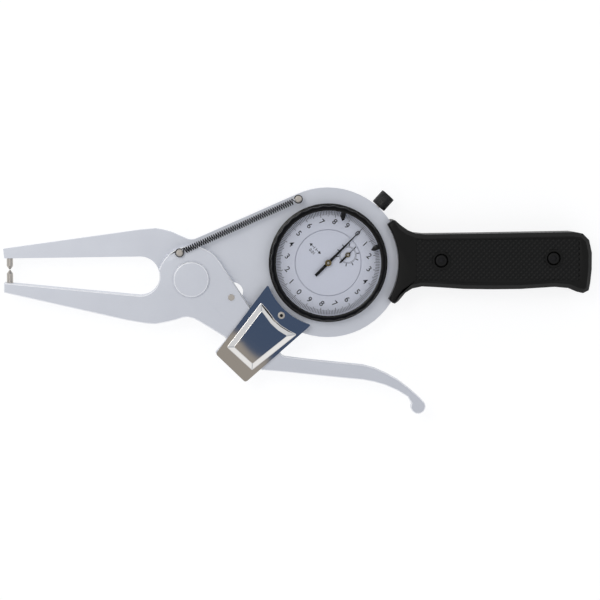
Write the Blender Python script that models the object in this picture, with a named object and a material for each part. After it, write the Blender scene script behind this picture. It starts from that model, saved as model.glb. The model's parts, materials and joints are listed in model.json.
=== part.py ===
"""Dial caliper gauge: a long-jawed outside gauge with a lever, a dial and a moulded grip.

It lies on its back. The origin is on the dial's axis, on the flat back face.
+X runs to the grip, +Y to the fixed jaw's side, and +Z out of the dial.
"""

import math

import bmesh
import bpy
from mathutils import Matrix, Vector

MM = 0.001

# Fits that every piece shares
clearance = 0.3 * MM
overrun = 1.0 * MM
sharp_angle = math.radians(35)

# Body plate, with the fixed jaw, the round dial seat, the cover's lobe and the grip's tang
plate_bottom = 7.0 * MM
plate_thickness = 6.6 * MM
plate_radius = 36.8 * MM
pivot_place = (-67.03 * MM, -7.89 * MM)
jaw_reach = 88.8 * MM
throat_radius = 9.5 * MM
throat_into_seam = 0.96 * MM
throat_rise = 1.52 * MM
throat_end_angle = math.radians(22)
arm_meets_rim = math.radians(113.6)
hidden_boss_radius = 15.6 * MM
tang_start = 30.0 * MM
tang_end = 122.0 * MM
tang_width = 14.0 * MM
tang_middle = 1.3 * MM

# Moving jaw plate, which laps over the body plate and ends in the finger lever
jaw_thickness = 4.0 * MM
seam_radius = 16.4 * MM
seam_slope = math.radians(33.75)
seam_start = math.radians(163.1)
thick_jaw_radius = 17.2 * MM
thick_jaw_end = -8.0 * MM
thick_jaw_corner_share = 0.85
lever_reach = 127.9 * MM
ball_radius = 3.72 * MM
ball_centre_shares = (0.871, -0.4918)
ball_arc = (math.radians(155), math.radians(385))
jaw_travel = math.radians(12.857)

# Contacts
contact_radius = 1.55 * MM
contact_tip_radius = 0.35 * MM
contact_cone = 1.7 * MM
contact_height = 10.3 * MM
contact_level_share = 0.0508
contact_gap = 0.3 * MM
contact_socket = 3.0 * MM
upper_edge_share = 0.1148
lower_edge_share = -0.0197

# Pivot
bolt_radius = 3.0 * MM
bolt_cap_radius = 8.85 * MM
bolt_cap_height = 1.4 * MM
bolt_cap_chamfer = 0.5 * MM
bush_wall = 1.5 * MM
nut_radius = 5.6 * MM
nut_height = 3.0 * MM
washer_height = 0.6 * MM
bolt_end = 0.5 * MM

# Stop pin in its hole
stop_hole_radius = 5.0 * MM
stop_distance = 21.5 * MM
stop_hole_angle = math.radians(-18.1)
stop_gap = 0.12 * MM
stop_head_radius = 1.55 * MM
stop_head_height = 0.5 * MM
stop_pin_end = 1.0 * MM

# Return spring and the posts that hold it
post_radius = 1.2 * MM
post_head_radius = 1.75 * MM
post_head_height = 0.9 * MM
post_socket = 2.5 * MM
jaw_post_shares = (-0.063, 0.1479)
body_post_shares = (0.5887, 0.4409)
spring_height = 20.2 * MM
spring_mean_radius = 1.4 * MM
spring_wire_radius = 0.25 * MM
spring_lead = 1.87 * MM
spring_curls = 46
points_in_curl = 8
hook_radius = 1.8 * MM
hook_opening = math.radians(60)
hook_steps = 12
post_crown_share = 0.7

# Gear train: a toothed sector on the jaw, an intermediate arbor, the centre arbor and the counter
wheel_teeth = 60
pinion_teeth = 6
sector_pinion_turns = 28
centre_distance = 13.75 * MM
tooth_height_share = 0.9
tooth_depth_share = 1.25
tooth_root_share = 0.4
tooth_tip_share = 0.18
sector_bottom = 9.2 * MM
sector_thickness = 1.2 * MM
sector_rim = 2.6 * MM
spare_teeth = 2
arm_outer_radius = 43.5 * MM
arm_width = 6.5 * MM
foot_width = 8.5 * MM
foot_start = math.radians(-46)
foot_end = math.radians(-33)
arm_end = math.radians(-17.9)
arm_top = math.radians(-12.2)
sector_screw_angles = (math.radians(-43.3), math.radians(-36.2))
wheel_bottom = 5.3 * MM
wheel_thickness = 1.0 * MM
counter_wheel_bottom = 4.0 * MM
counter_wheel_thickness = 0.9 * MM
counter_place = (9.65 * MM, 3.87 * MM)
arbor_radius = 0.6 * MM
arbor_foot = 2.6 * MM

# Pocket for the sector, milled from the back, under a front skin
pocket_skin = 2.2 * MM
pocket_margin = 1.0 * MM
pocket_end_depth = 6.0 * MM

# Bridge behind the body plate
bridge_bottom = 2.5 * MM
bridge_thickness = 0.9 * MM
bridge_radius = 26.2 * MM
pillar_radius = 1.9 * MM
pillar_distance = 24.0 * MM
pillar_angles = (math.radians(50), math.radians(150), math.radians(300))

# Rear case
case_radius = 33.0 * MM
case_wall = 1.6 * MM
case_chamfer = 0.8 * MM
case_boss_radius = 2.4 * MM
case_boss_distance = 29.2 * MM
case_boss_angles = (math.radians(0), math.radians(100), math.radians(260))
lobe_boss_shares = (0.422, -0.736)

# Mechanism cover, a stamped sheet with a raised pocket
cover_reach = 57.0 * MM
cover_left_shares = (0.207, -0.6386)
cover_bottom_shares = (0.4632, -0.886)
cover_gap_to_bezel = 2.2 * MM
cover_arc_start = math.radians(199.3)
cover_arc_end = math.radians(254.5)
cover_sheet = 0.8 * MM
cover_corner = 2.4 * MM
cover_pocket_height = 2.1 * MM
cover_pocket_slope = 1.4 * MM
pocket_edge = 3.6 * MM
pocket_run = 27.0 * MM
pocket_near_share = 0.92
cover_corner_points = 4
cover_screw_place = (-23.03 * MM, -25.5 * MM)
cover_boss_radius = 2.0 * MM
cover_skirt_length = 8.0 * MM

# Dial, bezel and crystal
bezel_radius = 29.1 * MM
bezel_ring_radius = 28.3 * MM
bezel_flange_height = 3.6 * MM
bezel_height = 8.6 * MM
bezel_opening = 25.7 * MM
bezel_wall_inner = 26.6 * MM
bezel_lip = 0.9 * MM
bezel_scallops = 32
scallop_depth = 0.45 * MM
skirt_inner = 27.2 * MM
skirt_outer = 28.6 * MM
skirt_depth = 1.3 * MM
dial_base_radius = 26.2 * MM
dial_base_thickness = 1.2 * MM
dial_sheet = 0.6 * MM
dial_centre_radius = 16.1 * MM
base_screw_distance = 21.5 * MM
base_screw_angles = (math.radians(20), math.radians(140), math.radians(280))
crystal_thickness = 1.0 * MM
crystal_bottom = 19.4 * MM
marker_inner = 21.6 * MM
marker_width = 2.4 * MM
marker_foot = 0.6 * MM
marker_height = 1.5 * MM
marker_angles = (math.radians(73.2), math.radians(18.4))
dial_turn = math.radians(45)

# Hands
hand_tip = 24.4 * MM
hand_tail = 8.8 * MM
hand_width = 1.5 * MM
hand_waist_share = 0.4
hand_waist_width_share = 0.6
hand_tip_width_share = 0.16
hand_thickness = 0.3 * MM
hand_level = 17.4 * MM
hub_radius = 1.6 * MM
hub_height = 1.0 * MM
counter_hand_tip = 5.5 * MM
counter_hand_tail = 5.2 * MM
counter_hand_width = 0.9 * MM
counter_hand_level = 16.4 * MM
counter_hub_radius = 1.2 * MM
counter_hub_height = 0.7 * MM

# Bezel clamp
clamp_angle = math.radians(48)
clamp_level = 12.0 * MM
clamp_shank_radius = 0.9 * MM
clamp_knob_radius = 3.75 * MM
clamp_knob_length = 7.4 * MM
clamp_knob_chamfer = 0.7 * MM

# Grip, two mouldings that clamp the tang
grip_end = 129.6 * MM
grip_thickness = 20.6 * MM
grip_arc_radius = 34.5 * MM
grip_arc_angles = (math.radians(-31), math.radians(33))
grip_chamfer = 0.8 * MM
grip_panel_depth = 0.5 * MM
grip_screw_places = ((55.3 * MM, 1.08 * MM), (110.6 * MM, 2.1 * MM))
grip_recess_radius = 3.45 * MM
grip_recess_depth = 2.6 * MM
grip_screw_radius = 1.9 * MM
grip_head_radius = 3.0 * MM
grip_head_height = 1.6 * MM

# Small screws
screw_radius = 0.9 * MM
screw_head_radius = 1.7 * MM
screw_head_height = 0.8 * MM
screw_bite = 3.0 * MM

# Outlines as shares: the jaws of jaw_reach and the lever of lever_reach, both from the pivot
fixed_jaw_end_shares = ((-1.027, 0.1148), (-1.033, 0.1667))
fixed_jaw_bulge_shares = (
    (-0.2837, 0.2704), (-0.2395, 0.2745), (-0.1954, 0.2782), (-0.1512, 0.2704),
    (-0.1071, 0.2582), (-0.063, 0.2384), (-0.0182, 0.219), (0.0011, 0.2158), (0.0204, 0.2185),
)
body_hidden_edge_shares = ((0.2117, -0.3153), (0.045, -0.1689), (-0.0901, -0.1239), (-0.1622, 0.045))
moving_jaw_end_shares = ((-1.027, -0.0171), (-1.027, -0.0706))
moving_jaw_under_shares = (
    (-0.3592, -0.2241), (-0.2511, -0.2432), (-0.1971, -0.2472), (-0.1273, -0.2342),
    (-0.0845, -0.2235), (-0.045, -0.2106), (-0.0182, -0.2083), (0.0127, -0.2162),
    (0.0436, -0.2331), (0.1824, -0.3187), (0.2703, -0.4167), (0.321, -0.473),
)
lever_under_shares = (
    (0.2713, -0.3495), (0.3511, -0.3565), (0.4386, -0.3659), (0.5708, -0.38), (0.6583, -0.3886),
    (0.7029, -0.3972), (0.7467, -0.4105), (0.7905, -0.43), (0.8303, -0.4543),
)
lever_top_shares = (
    (0.8788, -0.4586), (0.8342, -0.4191), (0.7905, -0.3862), (0.7467, -0.362), (0.7029, -0.3421),
    (0.6583, -0.3299), (0.5708, -0.3203), (0.4386, -0.3069), (0.3573, -0.2963), (0.3464, -0.2909),
)
# Grip outline and panel as shares of grip_end, from the dial's axis
grip_outline_shares = (
    (0.2423, 0.162), (0.2515, 0.1613), (0.2755, 0.1412), (0.3021, 0.1227), (0.3287, 0.1119),
    (0.3657, 0.1078), (0.5671, 0.1103), (0.9275, 0.116), (0.9653, 0.1096), (0.9892, 0.0854),
    (1.0, 0.0374), (1.0, -0.0262), (0.9946, -0.0787), (0.9892, -0.1057), (0.9676, -0.1165),
    (0.9437, -0.1111), (0.912, -0.0972), (0.8588, -0.0923), (0.7261, -0.1003), (0.6204, -0.1011),
    (0.5139, -0.0995), (0.4082, -0.0923), (0.3549, -0.0895), (0.3179, -0.0972), (0.2917, -0.1134),
    (0.2647, -0.1458), (0.2515, -0.1535), (0.2423, -0.1512),
)
grip_panel_shares = (
    (0.331, -0.0645), (0.5139, -0.073), (0.72, -0.0735), (0.8588, -0.0655), (0.93, -0.073),
    (0.952, -0.0645), (0.952, 0.088), (0.93, 0.0945), (0.5671, 0.0885), (0.3657, 0.087), (0.331, 0.0925),
)

# Levels that follow from the sizes above
plate_top = plate_bottom + plate_thickness
jaw_bottom = plate_top + clearance
jaw_top = jaw_bottom + jaw_thickness
pocket_top = plate_top - pocket_skin
contact_level = contact_level_share * jaw_reach
upper_jaw_edge = upper_edge_share * jaw_reach
lower_jaw_edge = lower_edge_share * jaw_reach
bezel_bottom = plate_top + clearance
bezel_top = bezel_bottom + bezel_height
dial_base_bottom = plate_top + clearance
dial_base_top = dial_base_bottom + dial_base_thickness
dial_bottom = dial_base_top + clearance
dial_top = dial_bottom + dial_sheet
cover_lip_bottom = jaw_top + clearance
cover_bottom = cover_lip_bottom + screw_head_height
cover_top = cover_bottom + cover_sheet
cover_arc_radius = bezel_radius + cover_gap_to_bezel
case_top = plate_bottom - clearance
arm_inner_radius = arm_outer_radius - arm_width
foot_inner_radius = arm_outer_radius - foot_width
sector_screw_distance = arm_outer_radius - foot_width / 2
bridge_top = bridge_bottom + bridge_thickness
centre_angle = math.atan2(-pivot_place[1], -pivot_place[0])
arbor_place = (-centre_distance * math.cos(centre_angle), -centre_distance * math.sin(centre_angle))
arbor_from_pivot = math.hypot(*pivot_place) - centre_distance
wheel_module = centre_distance * 2 / (wheel_teeth + pinion_teeth)
sector_module = arbor_from_pivot * 2 / (pinion_teeth * (sector_pinion_turns - 1))
sector_teeth = pinion_teeth * sector_pinion_turns
counter_angle = math.atan2(counter_place[1], counter_place[0])
counter_module = math.hypot(*counter_place) * 2 / (wheel_teeth + pinion_teeth)


# Tools for outlines
def polar(radius, angle, centre=(0.0, 0.0)):
    return (centre[0] + radius * math.cos(angle), centre[1] + radius * math.sin(angle))


def arc(radius, start, end, steps, centre=(0.0, 0.0)):
    return [polar(radius, start + (end - start) * i / steps, centre) for i in range(steps + 1)]


def circle(radius, sides, centre=(0.0, 0.0)):
    return arc(radius, 0, math.tau, sides, centre)[:-1]


def scaled(shares, size):
    return [(x * size, y * size) for x, y in shares]


def moved(points, by):
    return [(x + by[0], y + by[1]) for x, y in points]


def inset(points, distance):
    """The outline drawn in by a distance, its edges kept parallel. Points run anticlockwise."""
    made = []
    for i, here in enumerate(points):
        before, after = Vector(points[i - 1]), Vector(points[(i + 1) % len(points)])
        here = Vector(here)
        first, second = (here - before).normalized(), (after - here).normalized()
        normals = Vector((-first.y, first.x)), Vector((-second.y, second.x))
        middle = (normals[0] + normals[1]).normalized()
        made.append(tuple(here + middle * distance / max(middle.dot(normals[0]), 0.5)))
    return made


# Tools for solids
def prism(outline, bottom, top):
    solid = bmesh.new()
    face = solid.faces.new([solid.verts.new((x, y, bottom)) for x, y in outline])
    grown = bmesh.ops.extrude_face_region(solid, geom=[face])["geom"]
    raised = [v for v in grown if isinstance(v, bmesh.types.BMVert)]
    bmesh.ops.translate(solid, verts=raised, vec=(0, 0, top - bottom))
    return solid


def chamfered_prism(outline, bottom, top, chamfer, both=False):
    """An upright block whose top edge, or both end edges, are chamfered."""
    rings = [(inset(outline, chamfer), bottom), (outline, bottom + chamfer)]
    if not both:
        rings = [(outline, bottom)]
    rings += [(outline, top - chamfer), (inset(outline, chamfer), top)]
    solid = bmesh.new()
    levels = [[solid.verts.new((x, y, z)) for x, y in points] for points, z in rings]
    count = len(outline)
    for lower, upper in zip(levels, levels[1:]):
        for i in range(count):
            after = (i + 1) % count
            solid.faces.new((lower[i], lower[after], upper[after], upper[i]))
    solid.faces.new(levels[0][::-1])
    solid.faces.new(levels[-1])
    return solid


def turned(profile, sides):
    """A solid turned about Z from its (radius, height) profile."""
    solid = bmesh.new()
    line = [solid.verts.new((radius, 0, height)) for radius, height in profile]
    edges = [solid.edges.new(pair) for pair in zip(line, line[1:])]
    if profile[0][0] > 0:
        edges.append(solid.edges.new((line[-1], line[0])))
    bmesh.ops.spin(
        solid, geom=line + edges, cent=(0, 0, 0), axis=(0, 0, 1), angle=math.tau, steps=sides, use_merge=True
    )
    bmesh.ops.remove_doubles(solid, verts=solid.verts[:], dist=clearance / 1000)
    return solid


def material(name, colour, roughness, metallic):
    made = bpy.data.materials.new(name)
    made.use_nodes = True
    shader = made.node_tree.nodes["Principled BSDF"]
    shader.inputs["Base Color"].default_value = (*colour, 1)
    shader.inputs["Roughness"].default_value = roughness
    shader.inputs["Metallic"].default_value = metallic
    return made


def piece(name, solid, finish, parent=None, place=None):
    bmesh.ops.recalc_face_normals(solid, faces=solid.faces[:])
    mesh = bpy.data.meshes.new(name)
    if place is not None:
        bmesh.ops.transform(solid, matrix=place, verts=solid.verts[:])
    solid.to_mesh(mesh)
    solid.free()
    mesh.materials.append(finish)
    mesh.shade_smooth()
    mesh.set_sharp_from_angle(angle=sharp_angle)
    made = bpy.data.objects.new(name, mesh)
    bpy.context.collection.objects.link(made)
    made.parent = parent
    return made


def combine(target, solid, operation, place=None):
    """Adds a solid to a piece, or cuts it out, with a hidden helper shape."""
    helper = piece(target.name + "_helper", solid, target.data.materials[0], target.parent, place)
    helper.hide_render = True
    helper.display_type = "WIRE"
    helper.hide_set(True)
    step = target.modifiers.new(operation.title(), "BOOLEAN")
    step.operation = operation
    step.solver = "EXACT"
    step.object = helper


def cut(target, solid, place=None):
    combine(target, solid, "DIFFERENCE", place)


def add(target, solid, place=None):
    combine(target, solid, "UNION", place)


def bore(target, radius, centre, bottom, top, sides=20):
    cut(target, prism(circle(radius, sides, centre), bottom, top))


def axis_empty(name, place, height=0.0):
    made = bpy.data.objects.new(name, None)
    made.location = (place[0], place[1], height)
    made.empty_display_size = bezel_radius
    bpy.context.collection.objects.link(made)
    return made


def screw_profile(head_radius, head_height, shank_radius, under_head, end):
    """A pan head whose underside is at under_head, and a shank down to end."""
    top = under_head + head_height
    return [
        (0, top), (head_radius - abs(head_height) / 2, top), (head_radius, top - head_height / 2),
        (head_radius, under_head), (shank_radius, under_head), (shank_radius, end), (0, end),
    ]


def at(place, height=0.0):
    return Matrix.Translation((place[0], place[1], height))


for found in list(bpy.data.objects):
    bpy.data.objects.remove(found, do_unlink=True)

satin_metal = material("satin_metal", (0.52, 0.55, 0.6), 0.42, 0.9)
lever_metal = material("lever_metal", (0.42, 0.42, 0.43), 0.4, 0.9)
polished_steel = material("polished_steel", (0.6, 0.6, 0.62), 0.12, 1.0)
hard_steel = material("hard_steel", (0.45, 0.46, 0.48), 0.25, 1.0)
spring_steel = material("spring_steel", (0.03, 0.03, 0.035), 0.35, 0.8)
brass = material("brass", (0.72, 0.52, 0.2), 0.3, 1.0)
black_plastic = material("black_plastic", (0.012, 0.012, 0.014), 0.5, 0.0)
black_paint = material("black_paint", (0.01, 0.01, 0.01), 0.4, 0.0)
dial_paint = material("dial_paint", (0.85, 0.87, 0.88), 0.6, 0.0)
clear_crystal = material("clear_crystal", (0.95, 0.96, 0.97), 0.05, 0.0)

jaw_axis = axis_empty("jaw_axis", pivot_place)
dial_axis = axis_empty("dial_axis", (0.0, 0.0))
idler_axis = axis_empty("idler_axis", arbor_place)
counter_axis = axis_empty("counter_axis", counter_place)
clamp_axis = axis_empty("clamp_axis", (0.0, 0.0), clamp_level)


# Body plate
def from_pivot(points):
    return moved(points, pivot_place)


cover_corners = from_pivot(scaled((cover_left_shares, cover_bottom_shares), cover_reach))
cover_right = polar(cover_arc_radius, cover_arc_end)
lobe_outline = [
    polar(plate_radius / 2, cover_arc_end), polar(plate_radius / 2, cover_arc_start),
    *cover_corners, cover_right,
]
throat_centre = (throat_into_seam - seam_radius - throat_radius, throat_rise)
jaw_body_outline = from_pivot(
    [*arc(throat_radius, math.pi / 2, throat_end_angle, 6, throat_centre)]
    + scaled(body_hidden_edge_shares[::-1], jaw_reach)
) + [*cover_corners, cover_right, (0.0, 0.0), polar(plate_radius, arm_meets_rim)]
jaw_body_outline += from_pivot(scaled(fixed_jaw_bulge_shares[::-1], jaw_reach))
jaw_body_outline += from_pivot(scaled(fixed_jaw_end_shares[::-1], jaw_reach))

body = piece("body_plate", prism(circle(plate_radius, 56), plate_bottom, plate_top), satin_metal)
add(body, prism(jaw_body_outline, plate_bottom, plate_top))
add(body, prism(circle(hidden_boss_radius, 32, pivot_place), plate_bottom, plate_top))
tang = [
    (tang_start, tang_middle - tang_width / 2), (tang_end, tang_middle - tang_width / 2),
    (tang_end, tang_middle + tang_width / 2), (tang_start, tang_middle + tang_width / 2),
]
add(body, prism(tang, plate_bottom, plate_top))
boss_outline = circle(cover_boss_radius, 16, cover_screw_place)
add(body, prism(boss_outline, plate_top - overrun, cover_bottom - clearance))
bore(body, stop_hole_radius, polar(stop_distance, stop_hole_angle, pivot_place),
     plate_bottom - overrun, plate_top + overrun, 32)
bore(body, bolt_radius + clearance, pivot_place, plate_bottom - overrun, plate_top + overrun)
post_foot = from_pivot(scaled((body_post_shares,), jaw_reach))[0]
bore(body, post_radius + clearance, post_foot, plate_top - post_socket - clearance, plate_top + overrun, 12)

# Pocket for the swinging sector, and the window that its foot rises through
sector_radius = sector_module * sector_teeth / 2
rim_outer = sector_radius + sector_rim
tooth_angle = math.tau / sector_teeth
rim_start = centre_angle - jaw_travel - tooth_angle * spare_teeth
rim_end = centre_angle + tooth_angle * spare_teeth
margin_angle = pocket_margin / arm_outer_radius
pocket = arc(arm_outer_radius + pocket_margin, foot_start - margin_angle, arm_end - margin_angle,
             10, pivot_place)
pocket += arc(rim_outer + pocket_margin, arm_end - margin_angle, rim_end + jaw_travel + margin_angle,
              10, pivot_place)
pocket += [polar(sector_radius - pocket_end_depth, rim_end + jaw_travel + margin_angle, pivot_place)]
pocket += arc(foot_inner_radius - pocket_margin, arm_top + jaw_travel + margin_angle,
              foot_start - margin_angle, 12, pivot_place)
cut(body, prism(pocket, plate_bottom - overrun, pocket_top))
window = arc(foot_inner_radius - pocket_margin / 2, foot_end + jaw_travel + margin_angle / 2,
             foot_start - margin_angle / 2, 8, pivot_place)
window += arc(arm_outer_radius + pocket_margin / 2, foot_start - margin_angle / 2,
              foot_end + jaw_travel + margin_angle / 2, 8, pivot_place)
cut(body, prism(window, pocket_top - overrun, plate_top + overrun))
bore(body, arbor_radius + clearance, arbor_place, pocket_top - overrun, pocket_top + pocket_skin / 2, 12)
bore(body, hub_radius, (0.0, 0.0), plate_bottom - overrun, plate_top + overrun, 16)
bore(body, hub_radius, counter_place, plate_bottom - overrun, plate_top + overrun, 16)
groove = turned([
    (skirt_inner - clearance, plate_top - skirt_depth - clearance), (skirt_outer + clearance,
     plate_top - skirt_depth - clearance), (skirt_outer + clearance, plate_top + overrun),
    (skirt_inner - clearance, plate_top + overrun),
], 36)
cut(body, groove)
for angle in base_screw_angles:
    bore(body, screw_radius + clearance, polar(base_screw_distance, angle),
         plate_top - screw_bite - clearance, plate_top + overrun, 10)
bore(body, screw_radius + clearance, cover_screw_place,
     plate_top - screw_bite - clearance, cover_bottom + overrun, 12)
case_boss_places = [polar(case_boss_distance, angle) for angle in case_boss_angles]
case_boss_places.append(from_pivot(scaled((lobe_boss_shares,), cover_reach))[0])
for place in case_boss_places + [polar(pillar_distance, angle) for angle in pillar_angles]:
    bore(body, screw_radius + clearance, place, plate_bottom - overrun,
         plate_bottom + screw_bite + clearance, 10)
socket_place = (pivot_place[0] - jaw_reach, pivot_place[1] + upper_jaw_edge - overrun)
socket_turn = Matrix.Translation((*socket_place, contact_height)) @ Matrix.Rotation(-math.pi / 2, 4, "X")
cut(body, prism(circle(contact_radius + clearance, 20), 0, contact_socket + overrun + clearance), socket_turn)
clamp_turn = Matrix.Rotation(clamp_angle, 4, "Z") @ Matrix.Rotation(math.pi / 2, 4, "Y")
clamp_line = Matrix.Translation((0, 0, clamp_level)) @ clamp_turn
cut(body, prism(circle(clamp_shank_radius + clearance, 12), skirt_outer, plate_radius + overrun), clamp_line)
for place in grip_screw_places:
    bore(body, grip_screw_radius + clearance, place, plate_bottom - overrun, plate_top + overrun, 16)


# Contacts: a cylinder with a blunt conical end, its shank let into the jaw
def contact_profile(length):
    return [
        (0, length), (contact_tip_radius, length), (contact_radius, length - contact_cone),
        (contact_radius, 0), (0, 0),
    ]


upper_length = upper_jaw_edge + contact_socket - contact_level - contact_gap / 2
upper_turn = Matrix.Translation(
    (pivot_place[0] - jaw_reach, pivot_place[1] + upper_jaw_edge + contact_socket, contact_height)
) @ Matrix.Rotation(math.pi / 2, 4, "X")
piece("upper_contact", turned(contact_profile(upper_length), 16), hard_steel, None, upper_turn)
lower_length = contact_level - contact_gap / 2 - lower_jaw_edge + contact_socket
lower_turn = Matrix.Translation(
    (-jaw_reach, lower_jaw_edge - contact_socket, contact_height)
) @ Matrix.Rotation(-math.pi / 2, 4, "X")
piece("lower_contact", turned(contact_profile(lower_length), 16), hard_steel, jaw_axis, lower_turn)

# Moving jaw and finger lever: a plate lapped over the body plate, deeper along the jaw itself
seam_side = (math.cos(seam_slope), math.sin(seam_slope))
ball_centre = scaled((ball_centre_shares,), lever_reach)[0]
throat_arc = arc(throat_radius, -math.pi / 2, throat_end_angle, 10, throat_centre)
seam_arc = arc(seam_radius, seam_start, seam_slope, 12)
jaw_under = scaled(moving_jaw_under_shares, jaw_reach)
jaw_outline = scaled(moving_jaw_end_shares, jaw_reach) + jaw_under
jaw_outline += scaled(lever_under_shares, lever_reach)
jaw_outline += arc(ball_radius, *ball_arc, 12, ball_centre)
jaw_outline += scaled(lever_top_shares, lever_reach)
jaw_outline += seam_arc[::-1] + throat_arc[::-1]
jaw = piece("moving_jaw_lever", prism(jaw_outline, jaw_bottom, jaw_top), lever_metal, jaw_axis)
thick_outline = scaled(moving_jaw_end_shares, jaw_reach)
thick_outline += [point for point in jaw_under if point[0] < thick_jaw_end]
thick_outline += [(thick_jaw_end, -thick_jaw_radius), (throat_arc[-1][0] * thick_jaw_corner_share, 0.0)]
thick_outline += throat_arc[::-1][1:]
thick_solid = prism(thick_outline, plate_bottom, jaw_top - clearance)
thick = piece("thick_jaw_helper", thick_solid, lever_metal, jaw_axis)
thick.hide_render = True
thick.display_type = "WIRE"
thick.hide_set(True)
cut(thick, prism(circle(thick_jaw_radius, 32), plate_bottom - overrun, jaw_bottom + clearance))
joined = jaw.modifiers.new("Union", "BOOLEAN")
joined.operation = "UNION"
joined.solver = "EXACT"
joined.object = thick
bush_radius = bolt_radius + clearance + bush_wall
bore(jaw, bush_radius + clearance, (0.0, 0.0), jaw_bottom - overrun, jaw_top + overrun, 24)
lower_socket = Matrix.Translation(
    (-jaw_reach, lower_jaw_edge - contact_socket - clearance, contact_height)
) @ Matrix.Rotation(-math.pi / 2, 4, "X")
cut(jaw, prism(circle(contact_radius + clearance, 20), 0, contact_socket + overrun * 2), lower_socket)
pin_angle = stop_hole_angle - jaw_travel / 2
pin_place = polar(stop_distance, pin_angle)
bore(jaw, stop_head_radius - clearance, pin_place, jaw_bottom - overrun, jaw_top + overrun, 16)
jaw_post_foot = scaled((jaw_post_shares,), jaw_reach)[0]
bore(jaw, post_radius + clearance, jaw_post_foot, jaw_top - post_socket - clearance, jaw_top + overrun, 12)
screw_from_pivot = (cover_screw_place[0] - pivot_place[0], cover_screw_place[1] - pivot_place[1])
boss_angle = math.atan2(screw_from_pivot[1], screw_from_pivot[0])
open_boss = polar(math.hypot(*screw_from_pivot), boss_angle - jaw_travel)
bore(jaw, cover_boss_radius + clearance * 2, open_boss, jaw_bottom - overrun, jaw_top + overrun, 24)
foot_screws = [polar(sector_screw_distance, angle) for angle in sector_screw_angles]
for place in foot_screws:
    bore(jaw, screw_radius + clearance, place, jaw_bottom - overrun, jaw_top + overrun, 10)
    bore(jaw, screw_head_radius + clearance, place, jaw_top - screw_head_height - clearance,
         jaw_top + overrun, 12)

# Pivot bolt with its broad cap, bush, washer and nut
cap_bottom = jaw_top + clearance
cap_top = cap_bottom + bolt_cap_height
washer_bottom = plate_bottom - clearance - washer_height
nut_top = washer_bottom - clearance
nut_bottom = nut_top - nut_height
bolt_profile = [
    (0, cap_top), (bolt_cap_radius - bolt_cap_chamfer, cap_top),
    (bolt_cap_radius, cap_top - bolt_cap_chamfer), (bolt_cap_radius, cap_bottom), (bolt_radius, cap_bottom),
    (bolt_radius, nut_bottom - bolt_end), (0, nut_bottom - bolt_end),
]
piece("pivot_bolt", turned(bolt_profile, 28), satin_metal, None, at(pivot_place))
bush_profile = [
    (bush_radius, jaw_top), (bush_radius, jaw_bottom), (bolt_radius + clearance, jaw_bottom),
    (bolt_radius + clearance, jaw_top),
]
piece("pivot_bush", turned(bush_profile, 20), brass, jaw_axis)
washer_profile = [
    (nut_radius, washer_bottom + washer_height), (nut_radius, washer_bottom),
    (bolt_radius + clearance, washer_bottom), (bolt_radius + clearance, washer_bottom + washer_height),
]
piece("pivot_washer", turned(washer_profile, 20), hard_steel, None, at(pivot_place))
nut = piece("pivot_nut", prism(circle(nut_radius, 6), nut_bottom, nut_top), hard_steel, None, at(pivot_place))
bore(nut, bolt_radius + clearance, pivot_place, nut_bottom - overrun, nut_top + overrun)

# Stop pin: its collar turns through the body plate's round hole and meets the wall at each end
collar_swing = 2 * stop_distance * math.sin(jaw_travel / 4)
collar_radius = stop_hole_radius - collar_swing - stop_gap
pin_profile = [
    (0, jaw_top + stop_head_height), (stop_head_radius, jaw_top + stop_head_height),
    (stop_head_radius, jaw_top + clearance), (stop_head_radius - clearance * 2, jaw_top + clearance),
    (stop_head_radius - clearance * 2, jaw_bottom - clearance), (collar_radius, jaw_bottom - clearance),
    (collar_radius, plate_bottom + stop_pin_end), (0, plate_bottom + stop_pin_end),
]
piece("stop_pin", turned(pin_profile, 16), hard_steel, jaw_axis, at(pin_place))


# Spring posts
def post_profile(foot):
    head_bottom = spring_height + spring_wire_radius + clearance
    head_top = head_bottom + post_head_height
    return [
        (0, head_top), (post_head_radius * post_crown_share, head_top),
        (post_head_radius, head_bottom + post_head_height / 2), (post_head_radius, head_bottom),
        (post_radius, head_bottom), (post_radius, foot), (0, foot),
    ]


jaw_post = turned(post_profile(jaw_top - post_socket), 14)
piece("jaw_spring_post", jaw_post, hard_steel, jaw_axis, at(jaw_post_foot))
body_post = turned(post_profile(plate_top - post_socket), 14)
piece("body_spring_post", body_post, hard_steel, None, at(post_foot))

# Return spring: one wire, hooked round a post at each end and close wound between
spring_start = Vector((*from_pivot([jaw_post_foot])[0], spring_height))
spring_end = Vector((*post_foot, spring_height))
spring_line = (spring_end - spring_start).normalized()
spring_side = Vector((-spring_line.y, spring_line.x, 0))
spring_span = (spring_end - spring_start).length
coil_start = hook_radius + spring_lead
spring_pitch = (spring_span - coil_start * 2) / spring_curls


def hook(centre, toward, side):
    """Most of a ring round a post, from its open end to the point that faces the coil."""
    turns = [hook_opening + (math.tau - hook_opening) * i / hook_steps for i in range(hook_steps + 1)]
    return [centre + hook_radius * (toward * math.cos(a) + side * math.sin(a)) for a in turns]


def coil_point(turn):
    reach = min(1, turn, spring_curls - turn)
    angle = math.tau * turn
    around = spring_side * math.cos(angle) + Vector((0, 0, 1)) * math.sin(angle)
    along = spring_line * (coil_start + spring_pitch * turn)
    return spring_start + along + around * spring_mean_radius * reach


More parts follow.
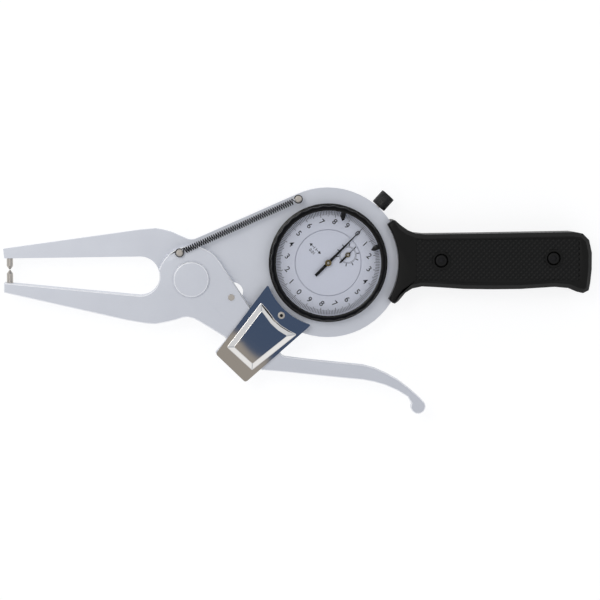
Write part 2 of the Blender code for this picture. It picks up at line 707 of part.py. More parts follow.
coil_steps = spring_curls * points_in_curl
spring_points = hook(spring_start, spring_line, spring_side)
spring_points += [coil_point(i / points_in_curl) for i in range(coil_steps + 1)]
spring_points += hook(spring_end, -spring_line, -spring_side)[::-1]
gap = min(
    (a - b).length
    for i, a in enumerate(spring_points) for b in spring_points[i + points_in_curl // 2 + 1:]
) - spring_wire_radius * 2
print(f"return spring: least gap to itself {gap / MM:.2f} mm")
wire = bpy.data.curves.new("return_spring", "CURVE")
wire.dimensions = "3D"
wire.bevel_depth = spring_wire_radius
wire.bevel_resolution = 1
wire.use_fill_caps = True
line = wire.splines.new("POLY")
line.points.add(len(spring_points) - 1)
for point, place in zip(line.points, spring_points):
    point.co = (*place, 1)
wire.materials.append(spring_steel)
spring = bpy.data.objects.new("return_spring", wire)
bpy.context.collection.objects.link(spring)


# Gears
def toothed(teeth, module, first_tooth):
    """A gear's outline, with the middle of one tooth at the angle given. A wheel's gaps are vees."""
    pitch = math.tau / teeth
    radius = teeth * module / 2
    root, tip = radius - tooth_depth_share * module, radius + tooth_height_share * module
    root_shares = (0.5,) if teeth == wheel_teeth else (tooth_root_share / 2, 1 - tooth_root_share / 2)
    outline = []
    for i in range(teeth):
        middle = first_tooth + i * pitch
        outline += [polar(tip, middle + side * tooth_tip_share * pitch / 2) for side in (-1, 1)]
        outline += [polar(root, middle + share * pitch) for share in root_shares]
    return outline


def shaft(bottom, top, radius=arbor_radius, sides=12):
    return prism(circle(radius, sides), bottom, top)


# Sector: inward teeth on a rim, carried by an arm whose foot is screwed up to the jaw plate
sector_top = sector_bottom + sector_thickness
inner_tip = sector_radius - tooth_height_share * sector_module
inner_root = sector_radius + tooth_depth_share * sector_module
rim_count = round((rim_end - rim_start) / tooth_angle)
rim_outline = arc(inner_root, arm_end, rim_start - tooth_angle, 5)
for i in range(rim_count):
    middle = centre_angle + tooth_angle * (i + spare_teeth + 0.5 - rim_count)
    rim_outline += [
        polar(inner_root, middle - tooth_root_share * tooth_angle / 2),
        polar(inner_tip, middle - tooth_tip_share * tooth_angle / 2),
        polar(inner_tip, middle + tooth_tip_share * tooth_angle / 2),
        polar(inner_root, middle + tooth_root_share * tooth_angle / 2),
    ]
rim_outline += arc(rim_outer, rim_end, arm_end, 14)
sector = piece("gear_sector", prism(rim_outline, sector_bottom, sector_top), hard_steel, jaw_axis)
arm_outline = arc(arm_inner_radius, foot_start, arm_end - margin_angle * 3, 8)
arm_outline += [
    polar(arm_outer_radius - pocket_margin, arm_top - margin_angle),
    polar(sector_radius + sector_rim / 2, arm_top),
    polar(sector_radius + sector_rim / 2, arm_end), polar(arm_outer_radius, arm_end),
]
arm_outline += arc(arm_outer_radius, arm_end - margin_angle, foot_start, 8)
add(sector, prism(arm_outline, sector_bottom, sector_top))
foot = arc(foot_inner_radius, foot_start, foot_end, 4) + arc(arm_outer_radius, foot_end, foot_start, 4)
add(sector, prism(foot, sector_bottom, jaw_bottom - clearance))
for i, place in enumerate(foot_screws):
    bore(sector, screw_radius + clearance, place, jaw_bottom - screw_bite - clearance,
         jaw_bottom + overrun, 10)
    profile = screw_profile(screw_head_radius, screw_head_height, screw_radius,
                            jaw_top - screw_head_height, jaw_bottom - screw_bite)
    piece(f"sector_screw_{i + 1}", turned(profile, 12), hard_steel, jaw_axis, at(place))

# Intermediate arbor: its pinion is driven by the sector and its wheel drives the centre arbor
idler = piece("intermediate_arbor", shaft(arbor_foot, pocket_top + pocket_skin / 2 - clearance),
              hard_steel, idler_axis)
add(idler, prism(toothed(pinion_teeth, sector_module, centre_angle), sector_bottom - clearance,
                 sector_top + clearance))
add(idler, shaft(wheel_bottom - clearance * 2, wheel_bottom - clearance, arbor_radius * 2))
wheel = piece("intermediate_wheel",
              prism(toothed(wheel_teeth, wheel_module, centre_angle + math.pi / wheel_teeth),
                    wheel_bottom, wheel_bottom + wheel_thickness), brass, idler_axis)
bore(wheel, arbor_radius + clearance, (0.0, 0.0), wheel_bottom - overrun, wheel_bottom + overrun * 2, 12)

# Centre arbor, with the pinion that the wheel drives and the one that drives the counter
centre_top = hand_level + hub_height
centre = piece("centre_arbor", shaft(arbor_foot, centre_top), hard_steel, dial_axis)
add(centre, prism(toothed(pinion_teeth, wheel_module, centre_angle + math.pi),
                  wheel_bottom - clearance / 2, wheel_bottom + wheel_thickness + clearance))
add(centre, prism(toothed(pinion_teeth, counter_module, counter_angle),
                  counter_wheel_bottom - clearance / 2, counter_wheel_bottom + counter_wheel_thickness))
counter_arbor = piece("counter_arbor", shaft(arbor_foot, counter_hand_level + counter_hub_height),
                      hard_steel, counter_axis)
add(counter_arbor, shaft(counter_wheel_bottom - clearance * 1.5, counter_wheel_bottom - clearance,
                         arbor_radius * 2))
counter_teeth = toothed(wheel_teeth, counter_module, counter_angle + math.pi + math.pi / wheel_teeth)
counter_disc = prism(counter_teeth, counter_wheel_bottom, counter_wheel_bottom + counter_wheel_thickness)
counter_wheel = piece("counter_wheel", counter_disc, brass, counter_axis)
bore(counter_wheel, arbor_radius + clearance, (0.0, 0.0),
     counter_wheel_bottom - overrun, counter_wheel_bottom + overrun * 2, 12)


# Hands
def hand_outline(tip, tail, width):
    half_widths = [
        (-tail, width / 2), (0, width / 2), (tip * hand_waist_share, width * hand_waist_width_share / 2),
        (tip, width * hand_tip_width_share / 2),
    ]
    return [(x, -y) for x, y in half_widths] + half_widths[::-1]


def hand(name, sizes, level, hub, height, parent):
    turn = Matrix.Rotation(dial_turn, 4, "Z")
    made = piece(name, prism(hand_outline(*sizes), level, level + hand_thickness), black_paint, parent, turn)
    add(made, shaft(level - clearance, level - clearance + height, hub, 20))
    bore(made, arbor_radius + clearance, (0.0, 0.0), level - overrun, level + overrun * 2, 12)


hand("main_hand", (hand_tip, hand_tail, hand_width), hand_level, hub_radius, hub_height, dial_axis)
hand("counter_hand", (counter_hand_tip, counter_hand_tail, counter_hand_width), counter_hand_level,
     counter_hub_radius, counter_hub_height, counter_axis)

# Bridge that carries the arbors' back pivots on three pillars
bridge = piece("movement_bridge", prism(circle(bridge_radius, 28), bridge_bottom, bridge_top), brass)
for i, angle in enumerate(pillar_angles):
    place = polar(pillar_distance, angle)
    add(bridge, prism(circle(pillar_radius, 14, place), bridge_bottom + clearance, case_top))
    bore(bridge, screw_radius + clearance, place, bridge_bottom - overrun, case_top + overrun, 10)
    profile = screw_profile(screw_head_radius, -screw_head_height / 2, screw_radius,
                            bridge_bottom - clearance, plate_bottom + screw_bite)
    piece(f"bridge_screw_{i + 1}", turned(profile, 8), hard_steel, None, at(place))
for place in ((0.0, 0.0), arbor_place, counter_place):
    bore(bridge, arbor_radius + clearance, place, bridge_bottom - overrun, bridge_top + overrun, 12)

# Rear case, a shallow casting that closes the movement and the sector's pocket
case_lobe = inset(lobe_outline, clearance)
case = piece("rear_case", chamfered_prism(circle(case_radius, 44), 0, case_top, case_chamfer), satin_metal)
add(case, prism(case_lobe, 0, case_top))
cut(case, prism(circle(case_radius - case_wall, 36), case_wall, case_top + overrun))
cut(case, prism(inset(lobe_outline, case_wall + clearance), case_wall, case_top + overrun))
for i, place in enumerate(case_boss_places):
    add(case, prism(circle(case_boss_radius, 14, place), case_wall / 2, case_top))
for i, place in enumerate(case_boss_places):
    bore(case, screw_radius + clearance, place, -overrun, case_top + overrun, 10)
    bore(case, screw_head_radius + clearance, place, -overrun, screw_head_height + clearance * 2, 12)
    profile = screw_profile(screw_head_radius, -screw_head_height, screw_radius,
                            screw_head_height + clearance, plate_bottom + screw_bite)
    piece(f"rear_case_screw_{i + 1}", turned(profile, 8), hard_steel, None, at(place))

# Mechanism cover: a stamped sheet with a raised pocket and edges turned down
cover_outline = arc(cover_arc_radius, cover_arc_end, cover_arc_start, 12) + cover_corners


def rounded(points, radius, steps=3):
    """The outline with each sharp corner replaced by a short curve."""
    made = []
    for i, here in enumerate(points):
        here = Vector(here)
        before = Vector(points[i - 1]) - here
        after = Vector(points[(i + 1) % len(points)]) - here
        if before.angle(after) > math.radians(150):
            made.append(tuple(here))
            continue
        start, end = here + before.normalized() * radius, here + after.normalized() * radius
        for k in range(steps + 1):
            t = k / steps
            made.append(tuple(start * (1 - t) ** 2 + here * 2 * t * (1 - t) + end * t ** 2))
    return made


cover_outline = rounded(cover_outline, cover_corner)
left, bottom, right = (Vector(corner) for corner in (*cover_corners, cover_right))
along_left = (bottom - left).normalized()
along_right = (right - bottom).normalized()
inward = Vector((-along_left.y, along_left.x))
cover_outline.append(tuple(bottom + along_right * cover_skirt_length))
pocket_left = left + along_left * pocket_edge + inward * pocket_edge
pocket_low = bottom - along_left * pocket_edge + inward * pocket_edge
raised = rounded([
    tuple(pocket_left), tuple(pocket_low), tuple(pocket_low + along_right * pocket_run),
    tuple(pocket_left + along_right * pocket_run * pocket_near_share),
], cover_corner, 4)
sheet = bmesh.new()
edge_ring = [sheet.verts.new((x, y, cover_top)) for x, y in cover_outline]
lower_ring = [sheet.verts.new((x, y, cover_top)) for x, y in raised]
pocket_level = cover_top + cover_pocket_height
upper_ring = [sheet.verts.new((x, y, pocket_level)) for x, y in inset(raised, cover_pocket_slope)]
for i in range(len(raised)):
    after = (i + 1) % len(raised)
    sheet.faces.new((lower_ring[i], lower_ring[after], upper_ring[after], upper_ring[i]))
sheet.faces.new(upper_ring)
loops = []
for ring in (edge_ring, lower_ring):
    pairs = zip(ring, ring[1:] + ring[:1])
    loops += [sheet.edges.get(pair) or sheet.edges.new(pair) for pair in pairs]
bmesh.ops.triangle_fill(sheet, use_beauty=True, edges=loops)


def reach_along(corner, start, way):
    return (Vector(corner.co.xy) - start).dot(way)


def turn_down(edges, bottom_height):
    """Bends the sheet's edge down to a height."""
    grown = bmesh.ops.extrude_edge_only(sheet, edges=edges)["geom"]
    for corner in grown:
        if isinstance(corner, bmesh.types.BMVert):
            corner.co.z = bottom_height
    return [edge for edge in grown if isinstance(edge, bmesh.types.BMEdge)]


outer_edges = [sheet.edges.get(pair) for pair in zip(edge_ring, edge_ring[1:] + edge_ring[:1])]
past_corner = len(edge_ring) - cover_corner_points * 2 - 1
lip_edges = turn_down(outer_edges[past_corner:], cover_lip_bottom)
skirt_limit = cover_skirt_length + clearance
deep_edges = [
    edge for edge in lip_edges
    if abs(edge.verts[0].co.z - edge.verts[1].co.z) < clearance
    and max(reach_along(corner, bottom, along_right) for corner in edge.verts) < skirt_limit
]
turn_down(deep_edges, bezel_bottom)
cover = piece("mechanism_cover", sheet, polished_steel)
if sum(face.normal.z * face.area for face in cover.data.polygons) < 0:
    cover.data.flip_normals()
wall = cover.modifiers.new("Sheet", "SOLIDIFY")
wall.thickness = cover_sheet
wall.offset = -1
wall.use_even_offset = True
bore(cover, screw_radius + clearance, cover_screw_place, cover_lip_bottom - overrun, cover_top + overrun, 12)
profile = screw_profile(screw_head_radius, screw_head_height, screw_radius, cover_top + clearance,
                        plate_top - screw_bite)
piece("cover_screw", turned(profile, 16), polished_steel, None, at(cover_screw_place))

# Dial: a fixed base and middle, and an outer ring that turns with the bezel
base = piece("dial_base", prism(circle(dial_base_radius, 32), dial_base_bottom, dial_base_top), brass)
middle = piece("dial_middle", prism(circle(dial_centre_radius, 40), dial_bottom, dial_top), dial_paint)
for place in ((0.0, 0.0), counter_place):
    bore(base, arbor_radius + clearance, place, dial_base_bottom - overrun, dial_base_top + overrun, 12)
    bore(middle, arbor_radius + clearance, place, dial_bottom - overrun, dial_top + overrun, 12)
for i, angle in enumerate(base_screw_angles):
    place = polar(base_screw_distance, angle)
    bore(base, screw_radius + clearance, place, dial_base_bottom - overrun, dial_base_top + overrun, 10)
    bore(base, screw_head_radius + clearance, place, dial_base_top - screw_head_height - clearance,
         dial_base_top + overrun, 12)
    profile = screw_profile(screw_head_radius, screw_head_height, screw_radius,
                            dial_base_top - screw_head_height, plate_top - screw_bite)
    piece(f"dial_screw_{i + 1}", turned(profile, 8), hard_steel, None, at(place))
ring_inner, ring_outer = dial_centre_radius + clearance, bezel_wall_inner - clearance
ring_profile = [
    (ring_outer, dial_top), (ring_outer, dial_bottom), (ring_inner, dial_bottom), (ring_inner, dial_top),
]
piece("dial_ring", turned(ring_profile, 40), dial_paint, dial_axis)

# Bezel: a turned ring with a scalloped grip, a lip over the crystal and a skirt in the plate's groove
marker_groove_top = crystal_bottom + crystal_thickness + clearance * 2 + marker_foot
bezel_profile = [
    (bezel_opening, bezel_top), (bezel_ring_radius - bezel_lip, bezel_top),
    (bezel_ring_radius, bezel_top - bezel_lip),
    (bezel_ring_radius, bezel_bottom + bezel_flange_height + bezel_lip),
    (bezel_radius, bezel_bottom + bezel_flange_height), (bezel_radius, bezel_bottom),
    (skirt_outer, bezel_bottom), (skirt_outer, plate_top - skirt_depth),
    (skirt_inner, plate_top - skirt_depth), (skirt_inner, bezel_bottom), (bezel_wall_inner, bezel_bottom),
    (bezel_wall_inner, marker_groove_top), (bezel_opening, marker_groove_top),
]
bezel_solid = turned(bezel_profile, bezel_scallops * 2)
low, high = bezel_bottom + bezel_flange_height + bezel_lip / 2, bezel_top - bezel_lip / 2
for corner in bezel_solid.verts:
    radius = math.hypot(corner.co.x, corner.co.y)
    turn = round(math.atan2(corner.co.y, corner.co.x) / (math.pi / bezel_scallops))
    if radius > bezel_ring_radius - clearance and low < corner.co.z < high and turn % 2:
        corner.co.x *= 1 - scallop_depth / radius
        corner.co.y *= 1 - scallop_depth / radius
piece("bezel", bezel_solid, black_paint, dial_axis)
crystal_radius = bezel_wall_inner - clearance
crystal_profile = [
    (0, crystal_bottom + crystal_thickness), (crystal_radius, crystal_bottom + crystal_thickness),
    (crystal_radius, crystal_bottom), (0, crystal_bottom),
]
piece("crystal", turned(crystal_profile, 40), clear_crystal, dial_axis)

# Limit markers: black clips that slide round in the bezel's inner groove, over the crystal
marker_bottom = crystal_bottom + crystal_thickness + clearance
marker_profile = [
    (marker_inner, marker_bottom), (crystal_radius, marker_bottom),
    (crystal_radius, marker_bottom + marker_foot),
    (bezel_opening - clearance, marker_bottom + marker_foot),
    (bezel_opening - clearance, marker_bottom + marker_height),
    (marker_inner + bezel_lip, marker_bottom + marker_height), (marker_inner, marker_bottom + marker_foot),
]
for i, angle in enumerate(marker_angles):
    on_edge = Matrix.Rotation(math.pi / 2, 4, "X")
    turn = Matrix.Rotation(angle, 4, "Z") @ on_edge
    piece(f"limit_marker_{i + 1}", prism(marker_profile, -marker_width / 2, marker_width / 2),
          black_plastic, dial_axis, turn)

# Bezel clamp: a screw through the plate's rim that presses on the bezel's skirt, with a moulded knob
shank_start = skirt_outer + clearance
knob_start = plate_radius + clearance
knob_end = knob_start + clamp_knob_length
clamp_profile = [
    (0, knob_end - clamp_knob_length / 2), (clamp_shank_radius, knob_end - clamp_knob_length / 2),
    (clamp_shank_radius, shank_start), (0, shank_start),
]
piece("clamp_screw", turned(clamp_profile, 12), hard_steel, clamp_axis, clamp_turn)
knob_profile = [
    (0, knob_end), (clamp_knob_radius - clamp_knob_chamfer, knob_end),
    (clamp_knob_radius, knob_end - clamp_knob_chamfer), (clamp_knob_radius, knob_start + clamp_knob_chamfer),
    (clamp_knob_radius - clamp_knob_chamfer, knob_start), (0, knob_start),
]
knob = piece("clamp_knob", turned(knob_profile, 24), black_plastic, clamp_axis, clamp_turn)
cut(knob, prism(circle(clamp_shank_radius + clearance, 12), knob_start - overrun,
                knob_end - clamp_knob_length / 2 + clearance), clamp_turn)

# Grip: front and back mouldings, each with a pocket for the tang and the plate's rim
grip_outline = arc(grip_arc_radius, grip_arc_angles[1], grip_arc_angles[0], 12)
grip_outline = (scaled(grip_outline_shares, grip_end) + grip_outline[::-1])[::-1]
grip_split = plate_bottom + plate_thickness / 2
panel = scaled(grip_panel_shares, grip_end)
inner_tang = [
    (tang_start, tang[0][1] - clearance), (tang_end + clearance, tang[0][1] - clearance),
    (tang_end + clearance, tang[2][1] + clearance), (tang_start, tang[2][1] + clearance),
]
for name, low, high in (
    ("grip_front", grip_split + clearance / 2, grip_thickness),
    ("grip_back", 0.0, grip_split - clearance / 2),
):
    front = name == "grip_front"
    solid = chamfered_prism(grip_outline, low, high, grip_chamfer, both=not front)
    half = piece(name, solid, black_plastic)
    inner = (plate_bottom - clearance, grip_split + overrun) if not front else (
        grip_split - overrun, plate_top + clearance)
    cut(half, prism(inner_tang, *inner))
    cut(half, prism(circle(plate_radius + clearance, 44), *inner))
    face = high if front else low
    inwards = -1 if front else 1
    panel_floor, outside = face + inwards * grip_panel_depth, face - inwards * overrun
    cut(half, prism(panel, min(panel_floor, outside), max(panel_floor, outside)))
    for i, place in enumerate(grip_screw_places):
        bore(half, grip_screw_radius + clearance, place, low - overrun, high + overrun, 14)
        if front:
            bore(half, grip_recess_radius, place, high - grip_recess_depth, high + overrun, 24)
        else:
            nut_seat = circle(grip_head_radius + clearance, 6, place)
            cut(half, prism(nut_seat, low - overrun, low + grip_recess_depth))
for i, place in enumerate(grip_screw_places):
    head_bottom = grip_thickness - grip_recess_depth + clearance
    profile = screw_profile(grip_head_radius, grip_head_height, grip_screw_radius, head_bottom, clearance * 2)
    piece(f"grip_screw_{i + 1}", turned(profile, 16), black_paint, None, at(place))
    nut = piece(f"grip_nut_{i + 1}", prism(circle(grip_head_radius, 6), clearance * 2,
                                          grip_recess_depth - clearance), hard_steel, None, at(place))
    bore(nut, grip_screw_radius + clearance, place, -overrun, grip_recess_depth + overrun, 14)
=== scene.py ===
"""The looks of a dial gauge with long jaws, a finger lever and a moulded grip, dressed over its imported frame."""

import json
import math

import bmesh
import bpy
from mathutils import Matrix, Vector

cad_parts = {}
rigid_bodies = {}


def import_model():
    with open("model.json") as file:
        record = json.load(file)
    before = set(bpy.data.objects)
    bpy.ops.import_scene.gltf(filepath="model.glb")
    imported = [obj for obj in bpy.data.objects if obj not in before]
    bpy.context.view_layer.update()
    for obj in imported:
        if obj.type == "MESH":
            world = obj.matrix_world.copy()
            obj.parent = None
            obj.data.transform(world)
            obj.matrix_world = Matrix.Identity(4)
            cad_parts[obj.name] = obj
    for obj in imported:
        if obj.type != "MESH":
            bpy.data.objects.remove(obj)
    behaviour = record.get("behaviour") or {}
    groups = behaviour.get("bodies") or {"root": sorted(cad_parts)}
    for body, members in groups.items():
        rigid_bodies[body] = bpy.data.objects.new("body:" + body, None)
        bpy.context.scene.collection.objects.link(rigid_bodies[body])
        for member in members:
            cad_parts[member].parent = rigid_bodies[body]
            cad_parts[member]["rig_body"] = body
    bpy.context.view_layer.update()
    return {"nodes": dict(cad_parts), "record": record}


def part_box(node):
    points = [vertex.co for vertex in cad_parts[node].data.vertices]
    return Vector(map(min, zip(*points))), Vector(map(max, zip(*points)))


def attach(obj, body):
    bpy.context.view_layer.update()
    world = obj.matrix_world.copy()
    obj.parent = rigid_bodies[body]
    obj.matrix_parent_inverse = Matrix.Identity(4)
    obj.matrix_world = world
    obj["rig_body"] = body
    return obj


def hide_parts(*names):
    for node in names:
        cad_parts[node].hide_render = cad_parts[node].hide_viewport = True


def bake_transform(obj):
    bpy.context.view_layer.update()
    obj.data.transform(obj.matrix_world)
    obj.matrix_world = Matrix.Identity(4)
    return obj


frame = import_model()
nodes = frame["nodes"]

# Camera
# The gauge is seen almost straight down through a long lens, from a little above and to the left of it,
# so that the walls which face the fixed jaw's side just show.
mm = 0.001
photo_size = 600
photo_pixel = 0.49 * mm
dial_in_photo = (328.2, 262.9)
sight_height = 17 * mm
camera_distance = 1100 * mm
camera_lean = (math.radians(-2.2), math.radians(4.0))


def photo_point(x, y, height):
    """The place at a height above the bench that the photograph shows at a pixel."""
    return Vector(((x - dial_in_photo[0]) * photo_pixel, (dial_in_photo[1] - y) * photo_pixel, height))


camera_data = bpy.data.cameras.new("camera")
camera_data.lens = camera_data.sensor_width * camera_distance / (photo_size * photo_pixel)
camera_data.clip_start = camera_distance / 10
camera = bpy.data.objects.new("camera", camera_data)
bpy.context.collection.objects.link(camera)
back = Vector((math.tan(camera_lean[0]), math.tan(camera_lean[1]), 1)).normalized()
across = Vector((0, 1, 0)).cross(back).normalized()
facing = Matrix((across, back.cross(across), back)).transposed().to_4x4()
middle_of_photo = photo_point(photo_size / 2, photo_size / 2, sight_height)
camera.matrix_world = Matrix.Translation(middle_of_photo + back * camera_distance) @ facing
bpy.context.scene.camera = camera
bpy.context.scene.view_settings.view_transform = "Standard"


# Light table and studio
# The gauge lies on a pale acrylic sheet that glows a little from below. The walls are white, with a greyer band
# at half height so that metal seen from low down keeps its form, and one lamp hangs to the upper left. A card
# over the camera, dark blue with one beige corner, is what polished steel mirrors.
def linear(code):
    """A colour written as sRGB hex, as the linear values that a shader takes."""
    parts = [int(code[i:i + 2], 16) / 255 for i in (1, 3, 5)]
    return tuple(p / 12.92 if p <= 0.04045 else ((p + 0.055) / 1.055) ** 2.4 for p in parts) + (1,)


def add_node(tree, kind, values=(), links=(), **settings):
    """Adds a node, with its settings, the values of its inputs and the sockets that feed them."""
    made = tree.nodes.new(kind)
    for name, value in settings.items():
        setattr(made, name, value)
    for name, value in dict(values).items():
        made.inputs[name].default_value = value
    for name, source in dict(links).items():
        tree.links.new(source, made.inputs[name])
    return made


card_way = Vector((0.038, -0.07, 1)).normalized()
card_fades_from, card_full_at = math.radians(17), math.radians(11)
beige_until, blue_from = -0.0775, -0.0725
wall_white, wall_grey = "#fbfbfc", "#bcc0c8"
studio = bpy.data.worlds.new("studio")
bpy.context.scene.world = studio
studio.use_nodes = True
sky = studio.node_tree
direction = add_node(sky, "ShaderNodeTexCoord").outputs["Generated"]
aim = add_node(sky, "ShaderNodeSeparateXYZ", {}, {0: direction})
near_card = add_node(
    sky, "ShaderNodeVectorMath", {1: card_way}, {0: direction}, operation="DOT_PRODUCT"
).outputs["Value"]
ceiling = add_node(
    sky, "ShaderNodeMapRange", {"From Min": math.cos(card_fades_from), "From Max": math.cos(card_full_at)},
    {"Value": near_card}, interpolation_type="SMOOTHSTEP",
)
diagonal = add_node(sky, "ShaderNodeMath", {}, {0: aim.outputs["X"], 1: aim.outputs["Y"]}, operation="ADD")
card_side = add_node(
    sky, "ShaderNodeMapRange", {"From Min": beige_until, "From Max": blue_from}, {"Value": diagonal.outputs[0]}
)
card = add_node(
    sky, "ShaderNodeMixRGB", {"Color1": linear("#a09a93"), "Color2": linear("#475670")},
    {"Fac": card_side.outputs["Result"]},
)
walls = add_node(sky, "ShaderNodeValToRGB", {}, {"Fac": aim.outputs["Z"]})
wall_bands = walls.color_ramp.elements
wall_bands[0].position, wall_bands[0].color = 0.1, linear(wall_white)
wall_bands[1].position, wall_bands[1].color = 0.82, linear(wall_white)
for level in (0.3, 0.6):
    wall_bands.new(level).color = linear(wall_grey)
surroundings = add_node(
    sky, "ShaderNodeMixRGB", {},
    {"Fac": ceiling.outputs["Result"], "Color1": walls.outputs["Color"], "Color2": card.outputs["Color"]},
)
background = sky.nodes["Background"]
background.inputs["Strength"].default_value = 0.93
sky.links.new(surroundings.outputs["Color"], background.inputs["Color"])

lamp_data = bpy.data.lights.new("window_lamp", "AREA")
lamp_data.shape = "RECTANGLE"
lamp_data.size, lamp_data.size_y = 420 * mm, 300 * mm
lamp_data.energy = 1.6
lamp_data.color = linear("#fffdf8")[:3]
lamp = bpy.data.objects.new("window_lamp", lamp_data)
bpy.context.collection.objects.link(lamp)
lamp.location = (-380 * mm, 340 * mm, 1100 * mm)
lamp.rotation_euler = (middle_of_photo - lamp.location).to_track_quat("-Z", "Y").to_euler()


def start_material(name):
    """A new material with its node tree and its Principled shader."""
    made = bpy.data.materials.new(name)
    made.use_nodes = True
    return made, made.node_tree, made.node_tree.nodes["Principled BSDF"]


def make_piece(name, solid, finish, body):
    """Turns a bmesh into a shaded piece that rides on a body."""
    mesh = bpy.data.meshes.new(name)
    solid.to_mesh(mesh)
    solid.free()
    mesh.materials.append(finish)
    mesh.shade_smooth()
    mesh.set_sharp_from_angle(angle=math.radians(32))
    made = bpy.data.objects.new(name, mesh)
    bpy.context.collection.objects.link(made)
    if body:
        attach(made, body)
    return made


glowing_sheet, tree, shader = start_material("glowing_white_acrylic")
shader.inputs["Base Color"].default_value = linear("#8c8c8d")
shader.inputs["Roughness"].default_value = 0.6
shader.inputs["Emission Color"].default_value = linear("#ffffff")
shader.inputs["Emission Strength"].default_value = 0.8
floor_size = 6000 * mm
floor_drop = 0.2 * mm
floor_solid = bmesh.new()
bmesh.ops.create_grid(floor_solid, size=floor_size / 2, matrix=Matrix.Translation((0, 0, -floor_drop)))
floor = make_piece("light_table", floor_solid, glowing_sheet, None)

# Body plate with the fixed jaw
# Sawn and milled from aluminium plate, bead blasted and clear anodised, with every edge broken by a small chamfer
# whose near-white finish is partly the bright cut metal and partly a painted highlight. The blast leaves a fine
# even grain, and handling leaves faint cloudy marks.
slot_of = {row["node"]: row["material_slot"] for row in frame["record"]["subparts"]}
weld_reach = 0.003 * mm
flat_within = math.radians(0.6)


def noise(tree, size, detail):
    """Cloudy noise of a size, from the piece's own coordinates."""
    spot = add_node(tree, "ShaderNodeTexCoord").outputs["Object"]
    clouds = add_node(tree, "ShaderNodeTexNoise", {"Scale": 1 / size, "Detail": detail}, {"Vector": spot})
    return clouds.outputs["Fac"]


def vary_colour(tree, shader, source, first, second):
    """Lets noise wander between two colours."""
    tint = add_node(
        tree, "ShaderNodeMixRGB", {"Color1": linear(first), "Color2": linear(second)}, {"Fac": source}
    )
    tree.links.new(tint.outputs["Color"], shader.inputs["Base Color"])


def vary_roughness(tree, shader, source, least, most):
    """Lets noise wander between two roughnesses."""
    dull = add_node(tree, "ShaderNodeMapRange", {"To Min": least, "To Max": most}, {"Value": source})
    tree.links.new(dull.outputs["Result"], shader.inputs["Roughness"])


def vary_height(tree, shader, source, strength, depth):
    """Raises a fine relief from noise."""
    relief = add_node(tree, "ShaderNodeBump", {"Strength": strength, "Distance": depth}, {"Height": source})
    tree.links.new(relief.outputs["Normal"], shader.inputs["Normal"])


def finished_copy(node, finish, edge, segments=2, edge_finish=None, clamp=True):
    """A merged copy of a CAD node with its sharp edges broken, which stands for the node."""
    source = nodes[node]
    solid = bmesh.new()
    solid.from_mesh(source.data)
    bmesh.ops.remove_doubles(solid, verts=solid.verts[:], dist=weld_reach)
    bmesh.ops.dissolve_limit(solid, angle_limit=flat_within, verts=solid.verts[:], edges=solid.edges[:])
    made = make_piece(node + "_finished", solid, finish, source["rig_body"])
    broken = made.modifiers.new("Broken edges", "BEVEL")
    broken.width = edge
    broken.segments = segments
    broken.limit_method = "ANGLE"
    broken.angle_limit = math.radians(40)
    broken.harden_normals = True
    broken.use_clamp_overlap = clamp
    if edge_finish:
        made.data.materials.append(edge_finish)
        broken.material = 1
    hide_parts(node)
    return made


# Clear anodised aluminium, bead blasted
blasted, tree, shader = start_material("bead_blasted_anodised_aluminium")
grain = noise(tree, 0.35 * mm, 2.0)
vary_colour(tree, shader, noise(tree, 14 * mm, 4.0), "#d6d9e1", "#dfe2e9")
vary_roughness(tree, shader, grain, 0.42, 0.52)
vary_height(tree, shader, grain, 0.25, 0.02 * mm)
shader.inputs["Metallic"].default_value = 0.92
# The same aluminium cut bright by the chamfer, near white and less metallic: partly bare metal, partly a painted
# highlight
bright, tree, shader = start_material("cut_aluminium_edge_with_painted_highlight")
vary_roughness(tree, shader, noise(tree, 0.4 * mm, 2.0), 0.3, 0.4)
shader.inputs["Base Color"].default_value = linear("#fbfcff")
shader.inputs["Metallic"].default_value = 0.35
plate_edge = 0.35 * mm
finished_copy("body_plate", blasted, plate_edge, segments=3, edge_finish=bright)

# Moving jaw and finger lever
# One plate that laps over the body and turns on the pivot, of the same blasted aluminium. Its edge along the seam
# has a wider chamfer in the near-white edge finish, a painted highlight that shows as a pale line, so its width
# isn't clamped.
seam_edge = 0.5 * mm
finished_copy("moving_jaw_lever", blasted, seam_edge, segments=3, edge_finish=bright, clamp=False)

# Pivot
# A broad turned cap hides the pivot bolt, with a chamfer round its rim. Behind the plate are a washer and nut
# of ground steel, which also makes the contacts, the stop pin and the spring's posts.
cap_edge, steel_edge = 0.25 * mm, 0.12 * mm
# The cap's rim chamfer takes the same near-white edge finish, partly a painted highlight.
finished_copy("pivot_bolt", blasted, cap_edge, segments=3, edge_finish=bright)
# Hardened steel, ground and slightly warm in tone
ground, tree, shader = start_material("ground_hardened_steel")
vary_roughness(tree, shader, noise(tree, 0.3 * mm, 3.0), 0.34, 0.48)
shader.inputs["Base Color"].default_value = linear("#c4beb6")
shader.inputs["Metallic"].default_value = 1.0
for name in ("pivot_washer", "pivot_nut", "upper_contact", "lower_contact", "stop_pin",
             "jaw_spring_post", "body_spring_post"):
    finished_copy(name, ground, steel_edge)

